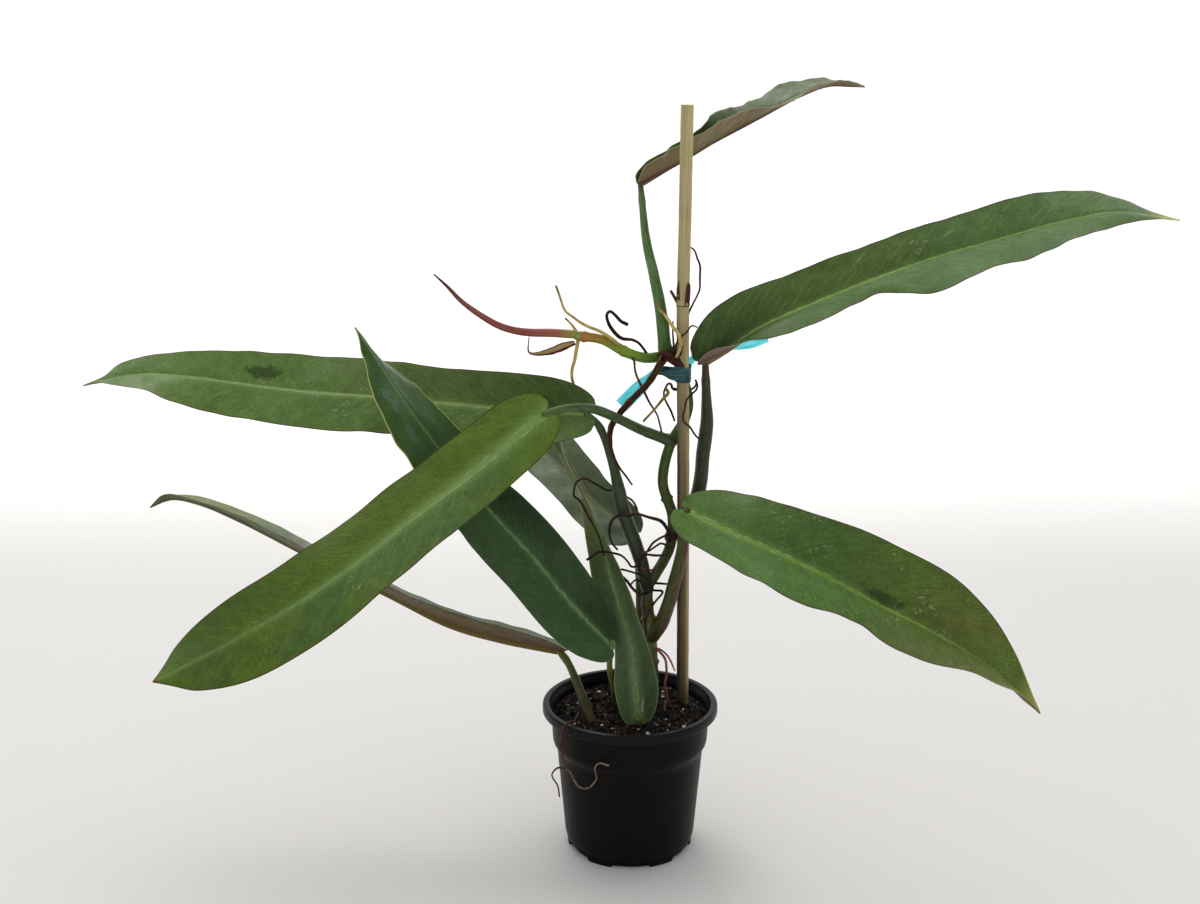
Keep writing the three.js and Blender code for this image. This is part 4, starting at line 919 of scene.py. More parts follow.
def stem_skin():
    """Living aroid stem: green to olive skin that turns to cork, so it goes from satin to matt,
    with brown rings at its nodes and streaks of dead tissue between them."""
    f = Finish("climbing_stem_skin", 1.45, .3)
    colour = set_stops(f.add(BANDS, f.v), STEM_TONES)
    # Painted shade: the stem's left side is darkened towards dark brown
    side = f.add(EASED, f.z, -.2, -.8, 0, .45)
    colour = f.add(BLEND, side, colour, "2C2413")
    streaks = f.add(NOISE, f.drawn(.08), 1 / 1.6, 4, .6)
    lower = f.add(EASED, f.v, .38, .34, .15, .85)
    colour = f.add(BLEND, f.add(TIMES, f.add(EASED, streaks, .5, .62), lower), colour, "3D2C16")
    colour = f.add(TINT, 1.0, colour, f.add(EASED, streaks, .34, .66, .8, 1.2))
    pores = dots(f, f.drawn(.6), 2.4, .34, .4)
    colour = f.add(BLEND, f.add(TIMES, pores, .4), colour, "A8A478")
    gloss = mottle(f, f.place, 3, 3, .3, .7, .4, .66)
    return f.finish(colour, gloss, f.add(NOISE, f.drawn(.3), 1 / 1.4, 4), .3)


def root_skin(kind, deep, light, tip):
    """Aerial root: thin corky skin, matt and wrinkled across, paler or blackened at its end."""
    f = Finish(kind + "_root_cork", 1.4, .3)
    patches = f.add(NOISE, f.drawn(.5), 1 / 2.6, 4)
    colour = f.add(BLEND, f.add(EASED, patches, .38, .62), deep, light)
    colour = f.add(BLEND, f.add(EASED, f.v, .8, .98, 0, .8), colour, tip)
    rough = mottle(f, f.place, 1.5, 2, .3, .7, .62, .88)
    return f.finish(colour, rough, f.add(NOISE, f.add(SCALED, f.place, (.4, 1, 1)), 1 / .8), .2)


ROOT_CORK = {"dark": ("1F1412", "40291F", "2A1C18"), "red": ("3A1F1A", "5E3A30", "6A4638"),
             "pink": ("7A3A32", "A06A62", "8C5A4A"), "brown": ("3E2418", "6E4A34", "5A3A28"),
             "olive": ("6E6030", "A8954A", "7A6A3A"), "grey": ("4A3C36", "8C8078", "A09890"),
             "yellow": ("B09A54", "DCCB80", "6A5A3A")}


def root_set(kinds):
    return [root_skin(kind, *ROOT_CORK[kind]) for kind in kinds]


def bamboo_rind():
    """Dried bamboo cane, unsplit: a hard yellow-olive rind with long fibres, so it is satin and finely
    lined, darker and browner towards the bottom and stained in patches there. Its right side has a
    painted highlight and its left side painted shade, deeper towards the bottom."""
    f = Finish("dried_bamboo_rind", 1.5, .35)
    colour = set_stops(f.add(BANDS, f.add(EVEN, f.y, 0, CANE_TONES_LENGTH)), BAMBOO_TONES)
    # Painted highlight: the right side is paled towards light straw
    right = f.add(EASED, f.z, .15, .8)
    colour = f.add(BLEND, f.add(TIMES, right, .5), colour, "CDBE8A")
    # Painted shade: the left side is darkened, more strongly towards the bottom
    left = f.add(EASED, f.z, -.95, -.2, 1, 0)
    painted_left_shade = f.add(TIMES, left, f.add(EASED, f.y, 200, 320, .85, .2))
    colour = f.add(BLEND, painted_left_shade, colour, "2A1D12")
    fibres = f.add(NOISE, f.drawn(.02), 1 / .8, 4)
    colour = f.add(TINT, 1.0, colour, f.add(EASED, fibres, .35, .65, .84, 1.16))
    stains = f.add(NOISE, f.drawn(.2), 1 / 7, 5)
    aged = f.add(EASED, f.y, 240, 340, .55, .14)
    colour = f.add(BLEND, f.add(TIMES, f.add(EASED, stains, .52, .68), aged), colour, "42321C")
    joint = f.add(SIZE, f.add(LESS, f.y, CANE_JOINT * CANE_LENGTH))
    colour = f.add(BLEND, f.add(EASED, joint, .5, 2.2, .8, 0), colour, "C2AE78")
    scar = f.add(SIZE, f.add(LESS, f.y, CANE_JOINT * CANE_LENGTH - 2.2))
    colour = f.add(BLEND, f.add(EASED, scar, .2, 1.0, .6, 0), colour, "4A3620")
    gloss = mottle(f, f.drawn(.1), 4, 2, .3, .7, .42, .6)
    return f.finish(colour, gloss, fibres, .1)


def dry_husk(name, deep, light, edge):
    """Dead leaf sheath: papery and matt, with parallel fibres and darker edges."""
    f = Finish(name, 1.4, .3)
    fibres = mottle(f, f.drawn(.06), 1.1, 4, .35, .65)
    colour = f.add(BLEND, fibres, deep, light)
    patches = mottle(f, f.place, 6, 3, .5, .68, 0, .6)
    colour = f.add(BLEND, patches, colour, deep)
    colour = f.add(BLEND, f.add(EASED, f.w, .7, .95, 0, .85), colour, edge)
    return f.finish(colour, f.add(EVEN, fibres, 0, 1, .66, .85), fibres, .15)


def pot_wall(colours):
    """Polypropylene nursery pot, injection moulded from black regrind: dull and near-black, with a
    brownish bloom, a painted sheen that browns its left and right flanks, and specks of soil dried on
    its lower front."""
    f = Finish("moulded_polypropylene_wall", 1.49, .07)
    bloom = mottle(f, f.place, 20, 4, .35, .65)
    colour = f.add(BLEND, bloom, (*colours.pot, 1), "15100D")
    # Painted sheen: the pot's left and right flanks are paled towards brown
    sides = f.add(EASED, f.add(SIZE, f.x), 30, 50, 0, .6)
    colour = f.add(BLEND, sides, colour, "241712")
    low = f.add(EASED, f.z, 44, 6)
    front = f.add(EASED, f.y, -20, -44, .15, 1)
    specks = f.add(MOST, dots(f, f.place, 3.1, .3, .5), dots(f, f.place, 1.7, .18, .4))
    drifts = mottle(f, f.place, 9, 3, .46, .62, .1, 1)
    specks = f.add(TIMES, f.add(TIMES, specks, drifts), f.add(TIMES, low, front))
    colour = f.add(BLEND, f.add(TIMES, specks, .62), colour, "9C8F82")
    film = f.add(TIMES, mottle(f, f.place, 5, 5, .5, .75), low)
    colour = f.add(BLEND, f.add(TIMES, film, .06), colour, "8A7A6C")
    gloss = mottle(f, f.place, 5, 4, .3, .7, .34, .48)
    turned = f.add(NOISE, f.add(SCALED, f.place, (.01, .01, 1)), 1 / .9)
    return f.finish(colour, f.add(PLUS, gloss, f.add(TIMES, film, .3)), turned, .02)


def pot_lip(colours):
    """The same moulded polypropylene at the rolled lip, rubbed smooth by handling, so it is
    glossier, bluish from the sky light, and finely scuffed along its edges."""
    f = Finish("moulded_polypropylene_lip", 1.49, .13)
    scuffs_and_sky_reflection = f.add(NOISE, f.add(SCALED, f.place, (.25, .25, 1)), 1 / 1.6, 4)
    # Painted reflection: a bluish tint of the sky laid over the black where the lip is rubbed smooth
    colour = f.add(BLEND, f.add(EASED, scuffs_and_sky_reflection, .4, .66), (*colours.pot, 1), "100F18")
    grit = dots(f, f.place, 3.4, .26, .3)
    colour = f.add(BLEND, f.add(TIMES, grit, .6), colour, "8F8A86")
    return f.finish(colour, f.add(EASED, scuffs_and_sky_reflection, .3, .7, .28, .46), scuffs_and_sky_reflection, .05)


def damp_peat(colours):
    """Damp peat and bark mix: nearly black crumbs with brown fibre and pale grit."""
    f = Finish("damp_peat_mix", 1.35, .3)
    crumbs = f.add(EASED, f.add(NOISE, f.place, 1 / 2.0, 5, .7), .36, .66)
    colour = f.add(BLEND, crumbs, (*colours.soil, 1), "17110D")
    bark = mottle(f, f.place, 5, 4, .62, .74, 0, .7)
    colour = f.add(BLEND, bark, colour, "211814")
    grit = f.add(MOST, dots(f, f.place, 1.9, .3, .5), dots(f, f.place, 1.1, .26, .3))
    colour = f.add(BLEND, f.add(TIMES, grit, .85), colour, "A9A49A")
    rough = f.add(EVEN, crumbs, 0, 1, .6, .95)
    return f.finish(colour, rough, f.add(NOISE, f.place, 1 / 1.2, 5, .7), 1.0)


def loose_grain(name, deep, light, rough=.9):
    """Loose grain on the soil: matt and finely pitted."""
    f = Finish(name, 1.4, .3)
    colour = f.add(BLEND, mottle(f, f.place, 1.2, 4, .35, .65), deep, light)
    roughness = mottle(f, f.place, .8, 2, .3, .7, rough - .12, rough)
    return f.finish(colour, roughness, f.add(NOISE, f.place, 1 / .6, 3), .2)


def tie_film(name, deep, light, sheer, **sockets):
    """Stretched vinyl garden tape, calendered: thin, glossy, drawn into fine creases, bright where light
    comes through it, with a painted glow where one is passed in, and dark where it lies doubled on the
    stem."""
    f = Finish(name, 1.5, Alpha=sheer, **sockets)
    creases = f.add(NOISE, f.add(SCALED, f.place, (.1, 1, 1)), 1 / 1.5, 4, .5, .3)
    colour = f.add(BLEND, f.add(EASED, creases, .36, .64), deep, light)
    return f.finish(colour, f.add(EASED, creases, .3, .7, .22, .4), creases, .3)


def shoot_skin():
    """Living young shoot: smooth waxed skin, glossy, green that reddens to the bud, with pale
    pores."""
    f = Finish("young_shoot_skin", 1.45)
    colour = set_stops(f.add(BANDS, f.v), SHOOT_TONES)
    blush = f.add(NOISE, f.drawn(.25), 1 / 6, 3)
    above = f.add(EASED, f.w, -.2, .9, .25, 1)
    late = f.add(EASED, f.v, .25, .7)
    mask = f.add(TIMES, f.add(TIMES, f.add(EASED, blush, .36, .6), above), late)
    colour = f.add(BLEND, f.add(TIMES, mask, .7), colour, "9A5A22")
    streaks = f.add(NOISE, f.drawn(.08), 1 / 1.2, 3)
    colour = f.add(TINT, 1.0, colour, f.add(EASED, streaks, .34, .66, .8, 1.2))
    pores = dots(f, f.place, 2.2, .36, .45)
    colour = f.add(BLEND, f.add(TIMES, pores, .7), colour, "E2DC9A")
    gloss = mottle(f, f.place, 3, 2, .3, .7, .22, .36)
    return f.finish(colour, gloss, streaks, .12)


def spear_skin():
    """Rolled young leaf: waxed dark red skin, glossy, greener at its base, with fine pale streaks
    and its seam in shade."""
    f = Finish("rolled_leaf_skin", 1.45)
    colour = set_stops(f.add(BANDS, f.v), SPEAR_TONES)
    streaks = f.add(NOISE, f.drawn(.04), 1 / 1.1, 4)
    colour = f.add(BLEND, f.add(EASED, streaks, .42, .62, 0, .55), colour, "B0695A")
    below = f.add(EASED, f.w, -.1, .8, 0, .5)
    colour = f.add(BLEND, below, colour, "48201E")
    gloss = mottle(f, f.place, 3, 2, .3, .7, .26, .42)
    return f.finish(colour, gloss, streaks, .15)


# Values that a user may change

class PlantSizes(bpy.types.PropertyGroup):
    blade_thickness: FloatProperty(
        name="Blade thickness", description="Thickness of a leaf between its veins",
        default=.0007, min=.0003, max=.0009, unit="LENGTH")
    vein_relief: FloatProperty(
        name="Vein relief", description="Depth of the side veins in a leaf's upper face",
        default=.00007, min=0, max=.001, unit="LENGTH")
    rib_relief: FloatProperty(
        name="Rib relief", description="Depth of the midrib's groove in a leaf's upper face",
        default=.00055, min=0, max=.001, unit="LENGTH")
    crumbs: IntProperty(
        name="Soil crumbs", description="Number of loose crumbs on the soil", default=1100, min=0)
    grit: IntProperty(
        name="Grit", description="Number of white and grey grains on the soil",
        default=190, min=0)
    root_unevenness: FloatProperty(
        name="Root unevenness", description="How knotty the aerial roots are",
        default=.32, min=0, max=.6, subtype="FACTOR")


class PlantColours(bpy.types.PropertyGroup):
    pot: FloatVectorProperty(
        name="Pot", description="Colour of the moulded pot", subtype="COLOR",
        default=linear("131112")[:3], min=0, max=1)
    soil: FloatVectorProperty(
        name="Soil", description="Colour of the damp peat", subtype="COLOR",
        default=linear("120F0D")[:3], min=0, max=1)
    floor: FloatVectorProperty(
        name="Floor", description="Colour of the floor and backdrop", subtype="COLOR",
        default=linear("F0EEEC")[:3], min=0, max=1)
    gloss: FloatProperty(
        name="Leaf roughness", description="Roughness of the leaves' upper faces",
        default=.4, min=.1, max=1, subtype="FACTOR")
    rib_strength: FloatProperty(
        name="Rib contrast", description="How plainly the midribs show",
        default=.8, min=0, max=1, subtype="FACTOR")


# Pieces

def half_width(share, widths):
    """Half width of a blade at a share of its length, rounded at its base."""
    values = [widths[0] * .92, *widths, widths[-1] * .38, TIP_HALF_WIDTH]
    inside = 1 - np.minimum(1, share / BASE_ROUNDING)
    rounding = (1 - inside ** 2.3) ** (1 / 2.3)
    return smooth_at(share, STATIONS, values) * (.25 + .75 * rounding)


def make_leaf(name, leaf, look, sizes, colours):
    route = Route(leaf["rib"])
    t = np.linspace(0, 1, BLADE_ROWS)
    shares = .5 * t + .5 * (1 - np.cos(np.pi * t)) / 2
    c = np.linspace(0, 1, BLADE_HALF_COLUMNS + 1)
    c = .62 * c + .38 * (1 - np.cos(np.pi * c)) / 2
    c = np.concatenate([-c[:0:-1], c])
    centre = route.at(shares)[:, None]
    along = route.heading(shares)
    level = unit(stacked(along[:, 1], -along[:, 0], 0))
    above = np.cross(level, along)
    roll = np.radians(evenly(shares, leaf["roll"]))[:, None]
    side = (level * np.cos(roll) + above * np.sin(roll))[:, None]
    normal = (above * np.cos(roll) - level * np.sin(roll))[:, None]
    fold = np.radians(evenly(shares, leaf["fold"]))[:, None, None]
    halves = {"right": half_width(shares, leaf["right"]), "left": half_width(shares, leaf["left"])}
    for half, at, extra, spread in leaf.get("trims", ()):
        halves[half] = halves[half] + extra * np.exp(-((shares - at) / spread) ** 2)
    width = np.where(c[None, :] > 0, halves["right"][:, None], halves["left"][:, None])[..., None]
    u = c[None, :, None]
    across = np.abs(u)
    near = np.maximum(0, 1 - shares / .1)[:, None, None] ** 2
    back = leaf["lobe"] * near * (1 - (1 - across) ** 2)
    points = (centre + side * u * width * np.cos(fold) + normal * across * width * np.sin(fold)
              - along[:, None] * back)
    lean = np.sign(u) * fold * np.minimum(1, width / 6)
    out = normal * np.cos(lean) - side * np.sin(lean)

    from_rib = (across * width)[..., 0]
    along_mm = shares[:, None] * route.length - back[..., 0]
    edge = np.minimum((1 - across[..., 0]) * width[..., 0],
                      (1 - shares)[:, None] * route.length * .5 + .1)
    spare = np.clip(width[..., 0] / 8, 0, 1)
    depth, ripples = leaf["wave"]
    seed = int(name[-1])
    margin = np.where(c > 0, 60, 0)[None] + 0 * shares[:, None]
    swell = route.length / ripples
    bumps = (1.5 * ripple(margin, along_mm, seed + 3, swell)
             + .8 * ripple(margin, along_mm, seed + 9, swell * .36))
    wave = depth * bumps * across[..., 0] ** 2.6
    arch = leaf["arch"] * width[..., 0] * np.sin(np.pi * across[..., 0] ** .8)
    start = (along_mm - VEIN_LEAN * from_rib - VEIN_BEND * from_rib ** 2) / VEIN_SPACING
    off = np.abs((start + np.where(c > 0, .5, 0)[None]) % 1 - .5) * VEIN_SPACING
    vein = np.exp(-(off / 1.1) ** 2) * np.clip(from_rib / 4, 0, 1) * np.clip(edge / 6, 0, 1)
    groove = np.exp(-(from_rib / 1.3) ** 2) * spare
    uneven = .5 * ripple(c[None] * 24, along_mm, seed, 34) * np.clip(from_rib / 8, 0, 1)
    lift = (wave * spare + arch + uneven * spare - sizes.vein_relief / MM * vein
            - sizes.rib_relief / MM * groove)
    top = points + out * lift[..., None]

    body = sizes.blade_thickness / MM
    keel = KEEL_HEIGHT * (1 - .65 * shares)[:, None] * np.exp(-(from_rib / KEEL_HALF_WIDTH) ** 2)
    keel = keel * np.clip(spare, .25, 1)
    thick = MARGIN_THICKNESS + (body - MARGIN_THICKNESS) * (1 - across[..., 0] ** 6) + keel + .18 * vein
    shape = Shape()
    place = stacked((u * width)[..., 0], along_mm, edge)
    share = stacked(u[..., 0], shares[:, None], 0 * edge)
    add_sheet(shape, top, thick, (0, 1), place, share, out)
    skins = [leaf_skin(name, look, colours), leaf_back(name, look, colours)]
    shape.make(name + "_blade_skin", skins, [name + "_blade"], sharp=50)


def make_stalk(name, leaf):
    shape = Shape()
    flat = lambda angles, shares: 1 + .05 * np.cos(2 * angles) * (shares > .2)
    add_tube(shape, leaf["stalk"], leaf["girth"], sides=22, spacing=1.5, uneven=.03,
             seed=int(name[-1]), rings=[(.03, .5), (.9, .35)], ring_width=3, stretch=flat)
    skin = stalk_skin(name + "_stalk_skin", STALK_TONES[name], STALK_BLUSH.get(name, PLAIN_BLUSH))
    shape.make(name + "_stalk_skin", [skin], [name + "_stalk"])


def arc(centre, radius, start, end, count=5):
    """Points of a rounded corner in the pot's profile."""
    turn = np.radians(np.linspace(start, end, count))
    return [(centre[0] + radius * math.cos(a), centre[1] + radius * math.sin(a)) for a in turn]


def slant(low, high, shares):
    """Points at shares of the way from one radius and height to another."""
    return [(low[0] + (high[0] - low[0]) * k, low[1] + (high[1] - low[1]) * k) for k in shares]


def pot_profile():
    lip = POT_HEIGHT - LIP_HEIGHT
    base = ARCH_HEIGHT + .6
    top = POT_HEIGHT
    outer = [(FOOT_RADIUS - 2, 0), *arc((FOOT_RADIUS - .6, .6), .6, -90, -10, 4)]
    outer += [(FOOT_RADIUS + .25, z) for z in (2, 3.6, 4.8)]
    outer += [(FOOT_RADIUS + .5, 6.2), (FOOT_RADIUS + 1.1, 7.4), (BODY_BOTTOM_RADIUS + .25, 8.6)]
    outer += slant((BODY_BOTTOM_RADIUS, FOOT_HEIGHT), (BODY_TOP_RADIUS, COLLAR_BOTTOM - 3),
                   np.linspace(.12, 1, 14))
    outer += [(BODY_TOP_RADIUS + .4, COLLAR_BOTTOM - 2.4), (BODY_TOP_RADIUS + 1.3, COLLAR_BOTTOM - .6),
              (COLLAR_BOTTOM_RADIUS - .5, COLLAR_BOTTOM + 1.2), (COLLAR_BOTTOM_RADIUS, COLLAR_BOTTOM + 3)]
    outer += slant((COLLAR_BOTTOM_RADIUS, COLLAR_BOTTOM), (COLLAR_TOP_RADIUS, lip),
                   np.linspace(.22, .95, 7))
    outer += [(COLLAR_TOP_RADIUS + .3, lip - .5), (COLLAR_TOP_RADIUS + 1, lip)]
    outer += [(RIM_RADIUS - 1.6, lip), *arc((RIM_RADIUS - .8, lip + .8), .8, -90, 0)]
    outer += [(RIM_RADIUS, lip + 2.4), (RIM_RADIUS - .05, top - 2.2)]
    outer += arc((RIM_RADIUS - 1.5, top - 1.4), 1.4, 0, 90, 7)
    inner = [(RIM_RADIUS - 3, top - .06), *arc((RIM_RADIUS - 3.6, top - 1.2), 1.1, 90, 170, 6)]
    inner += [(RIM_RADIUS - 5.1, top - 2.6), (COLLAR_TOP_RADIUS - .6, top - 4.6)]
    inner += [(COLLAR_TOP_RADIUS - WALL, lip - .5)]
    inner += slant((COLLAR_BOTTOM_RADIUS - WALL, COLLAR_BOTTOM), (COLLAR_TOP_RADIUS - WALL, lip),
                   (.8, .5, .2))
    inner += [(BODY_TOP_RADIUS - WALL, COLLAR_BOTTOM - 2.4)]
    inner += slant((BODY_BOTTOM_RADIUS - WALL, FOOT_HEIGHT),
                   (BODY_TOP_RADIUS - WALL, COLLAR_BOTTOM - 3), (.75, .5, .25, .08))
    inner += [(BODY_BOTTOM_RADIUS - WALL - .6, base + WALL + .3)]
    inner += [(r, base + WALL) for r in (BODY_BOTTOM_RADIUS - WALL - 1.6, 36, 31, 20, 9, .01)]
    under = [(.01, .3), (6.5, .3), (8, .5), (8.6, 1.6), (9.2, base - .6), (10.4, base), (20, base),
             (31, base), (37.5, base), (FOOT_RADIUS - 3.2, base - .7), (FOOT_RADIUS - 2.8, .3)]
    return np.array(outer + inner + under)


def make_pot(colours):
    sides = 216
    profile = pot_profile()
    angles = np.linspace(0, 2 * math.pi, sides, endpoint=False) - math.pi / 2
    radius, height = profile[:, :1], profile[:, 1:]
    turn = np.degrees(angles + math.pi / 2) % (360 / FOOT_COUNT)
    away = np.minimum(turn, 360 / FOOT_COUNT - turn)
    arch = np.clip((ARCH_HALF_ANGLE - away) / 2.2, 0, 1)
    arch = arch * arch * (3 - 2 * arch)
    at_foot = (radius > FOOT_RADIUS - 2.5) & (height < ARCH_HEIGHT)
    shaped = np.where(at_foot, 1 - height / ARCH_HEIGHT, 0)
    z = height + ARCH_HEIGHT * .93 * arch[None, :] * shaped
    grid = np.stack([radius * np.cos(angles), radius * np.sin(angles), z], -1)
    rows = len(profile)
    faces = grid_faces(rows, sides, wrap=True)
    last = (rows - 1) * sides
    faces += [[last + c, last + (c + 1) % sides, (c + 1) % sides, c] for c in range(sides)]
    shape = Shape()
    shape.add(grid, faces, place=grid)
    lip = np.flatnonzero(profile[:, 1] >= POT_HEIGHT - LIP_HEIGHT)
    for row in range(lip[0], lip[-1]):
        shape.kinds[row * sides:(row + 1) * sides] = [1] * sides
    pot = shape.make("nursery_pot", [pot_wall(colours), pot_lip(colours)], ["pot"], sharp=40)
    drill_pot(pot)


def drill_pot(pot):
    """Cuts the six round drain holes between the feet."""
    drill = bpy.data.meshes.new("drain_drills")
    cutter = bmesh.new()
    for i in range(FOOT_COUNT):
        turn = 2 * math.pi * (i + .5) / FOOT_COUNT - math.pi / 2
        made = bmesh.ops.create_cone(cutter, cap_ends=True, segments=24, depth=DRAIN_DEPTH * MM,
                                     radius1=DRAIN_RADIUS * MM, radius2=DRAIN_RADIUS * MM)
        place = Vector((DRAIN_REACH * math.cos(turn), DRAIN_REACH * math.sin(turn), DRAIN_LEVEL))
        bmesh.ops.translate(cutter, verts=made["verts"], vec=place * MM)
    cutter.to_mesh(drill)
    cutter.free()
    tool = bpy.data.objects.new("drain_drills", drill)
    bpy.context.scene.collection.objects.link(tool)
    cut = pot.modifiers.new("drain_holes", "BOOLEAN")
    cut.operation = "DIFFERENCE"
    cut.solver = "EXACT"
    cut.object = tool
    bpy.context.view_layer.objects.active = pot
    bpy.ops.object.modifier_apply(modifier=cut.name)
    bpy.data.objects.remove(tool)
    bpy.data.meshes.remove(drill)


def soil_level(x, y):
    """Height of the soil's top at a place: low heaps, crumbs and a dip by the wall."""
    inside = np.clip((46 - np.hypot(x, y)) / 6, 0, 1)
    heaps = np.sin(x * .31 + 1.3) * np.cos(y * .27) + .6 * np.sin(x * .11 - y * .19)
    fine = ripple(x, y, 5, 9) * .55 + ripple(x, y, 6, 4) * .35 + ripple(x, y, 7, 2.2) * .22
    return SOIL_TOP + 1.3 * heaps * inside + fine - .8 * (1 - inside)


def level_at(x, y):
    return float(soil_level(np.array([x]), np.array([y]))[0])


def make_soil(sizes, colours):
    wall = WALL + SOIL_CLEARANCE
    rings = np.linspace(1, 0, 64)[:-1]
    radius = (COLLAR_TOP_RADIUS - wall) * rings
    sides = 200
    angles = np.linspace(0, 2 * math.pi, sides, endpoint=False)
    x = radius[:, None] * np.cos(angles)
    y = radius[:, None] * np.sin(angles)
    top = np.stack([x, y, soil_level(x, y)], -1)
    skirt = [(COLLAR_BOTTOM_RADIUS - wall - .2, COLLAR_BOTTOM + 1),
             (BODY_TOP_RADIUS - wall - .2, COLLAR_BOTTOM - 3),
             (BODY_BOTTOM_RADIUS - wall - 1.4, ARCH_HEIGHT + 3)]
    low = np.array([[(r * math.cos(a), r * math.sin(a), z) for a in angles] for r, z in skirt[::-1]])
    grid = np.concatenate([low, top])
    faces = grid_faces(len(grid), sides, wrap=True) + cap_faces(len(grid), sides)
    tips = [(0, 0, skirt[-1][1]), (0, 0, level_at(0, 0))]
    points = np.vstack([grid.reshape(-1, 3), tips])
    shape = Shape()
    shape.add(points, faces, place=points)
    shape.make("potting_mix", [damp_peat(colours)], ["soil"], sharp=80)

    random = np.random.default_rng(SOIL_SEED)
    ball = bmesh.new()
    bmesh.ops.create_icosphere(ball, subdivisions=1, radius=1)
    knob = np.array([v.co[:] for v in ball.verts])
    knob_faces = [[v.index for v in face.verts] for face in ball.faces]
    ball.free()

    def scatter(shape, count, low_size, high_size, kinds):
        for _ in range(count):
            reach = GRAIN_REACH * math.sqrt(random.uniform(0, 1))
            turn = random.uniform(0, 2 * math.pi)
            px, py = reach * math.cos(turn), reach * math.sin(turn)
            size = low_size + (high_size - low_size) * random.uniform(0, 1) ** 2.5
            stretch = random.uniform(.55, 1.3, 3) * size
            rough = knob * (1 + random.uniform(-.22, .22, (len(knob), 1))) * stretch
            spin = random.uniform(0, 2 * math.pi)
            turned = np.stack([rough[:, 0] * math.cos(spin) - rough[:, 1] * math.sin(spin),
                               rough[:, 0] * math.sin(spin) + rough[:, 1] * math.cos(spin),
                               rough[:, 2]], -1)
            level = level_at(px, py)
            centre = np.array([px, py, level + stretch[2] * random.uniform(-.1, .45)])
            shape.add(turned + centre, knob_faces, random.choice(kinds), turned + centre)

    loose = Shape()
    scatter(loose, sizes.crumbs, *CRUMB_SIZES, [0, 0, 1])
    loose.make("soil_crumbs", [loose_grain("peat_crumb", "0F0C0A", "1E1712"),
                               loose_grain("bark_crumb", "241A13", "463526")])
    grains = Shape()
    scatter(grains, sizes.grit, *GRIT_SIZES, [0, 0, 1])
    for px, py, size in WHITE_LUMPS:
        rough = knob * (1 + random.uniform(-.2, .2, (len(knob), 1))) * size * random.uniform(.8, 1.2, 3)
        level = level_at(px, py)
        grains.add(rough + (px, py, level + size * .4), knob_faces, 0, rough + (px, py, level))
    grains.make("perlite_grains", [loose_grain("expanded_perlite", "B9B6AC", "EDEBE4", .95),
                                   loose_grain("grey_grit", "6A655C", "9A958A", .8)])
    fibres = Shape()
    for i in range(FIBRE_COUNT):
        reach = FIBRE_REACH * math.sqrt(random.uniform(0, 1))
        turn = random.uniform(0, 2 * math.pi)
        px, py = reach * math.cos(turn), reach * math.sin(turn)
        heading = random.uniform(0, 2 * math.pi)
        points = []
        for _ in range(5):
            level = level_at(px, py)
            points.append((px, py, level + random.uniform(.2, 1.1)))
            heading += random.uniform(-.7, .7)
            px += FIBRE_STEP * math.cos(heading)
            py += FIBRE_STEP * math.sin(heading)
            if math.hypot(px, py) > FIBRE_END_REACH:
                break
        if len(points) > 2:
            add_tube(fibres, points, [.3, .18], kind=i % 2, sides=5, spacing=1.2)
    fibres.make("soil_fibres", root_set(["dark", "brown"]))


def make_cane():
    shape = Shape()
    rings = [(CANE_JOINT, .65), (CANE_JOINT + .012, .3), (.2, .12)]
    add_tube(shape, CANE, [CANE_RADIUS] * 2, sides=40, spacing=2.2, rings=rings, ring_width=1.6,
             uneven=.012, seed=3, sawn=True)
    x, y, z = CANE[3]
    add_tube(shape, [(x - 2, y, z + 3), (x - 5, y - 1, z + 8), (x - 8, y - 2, z + 13)],
             [1.6, 1.1, .9], kind=1, sides=10, spacing=1, uneven=.15, seed=5)
    for points, half in CANE_STRIPS:
        route = Route(points)
        shares = np.linspace(0, 1, 30)
        centre, along = route.at(shares), route.heading(shares)
        facing = np.array([route.at(0)[0] - x, route.at(0)[1] - y, 0])
        out = np.broadcast_to(unit(facing), centre.shape)
        beside = unit(np.cross(along, out))
        reach = (half * (1 - shares ** 3) + .25)[:, None] * np.linspace(-1, 1, 7)[None]
        lift = .5 * np.abs(np.linspace(-1, 1, 7))[None] * shares[:, None]
        grid = centre[:, None] + beside[:, None] * reach[..., None] + out[:, None] * lift[..., None]
        place = stacked(reach, shares[:, None] * route.length, 0 * reach)
        add_sheet(shape, grid, STRIP_THICKNESS, kinds=(1, 1), place=place,
                  normals=np.broadcast_to(out[:, None], grid.shape))
    skins = [bamboo_rind(), dry_husk("dead_side_branch", "3A2018", "6A4030", "2A1712")]
    shape.make("bamboo_cane", skins, ["cane"])


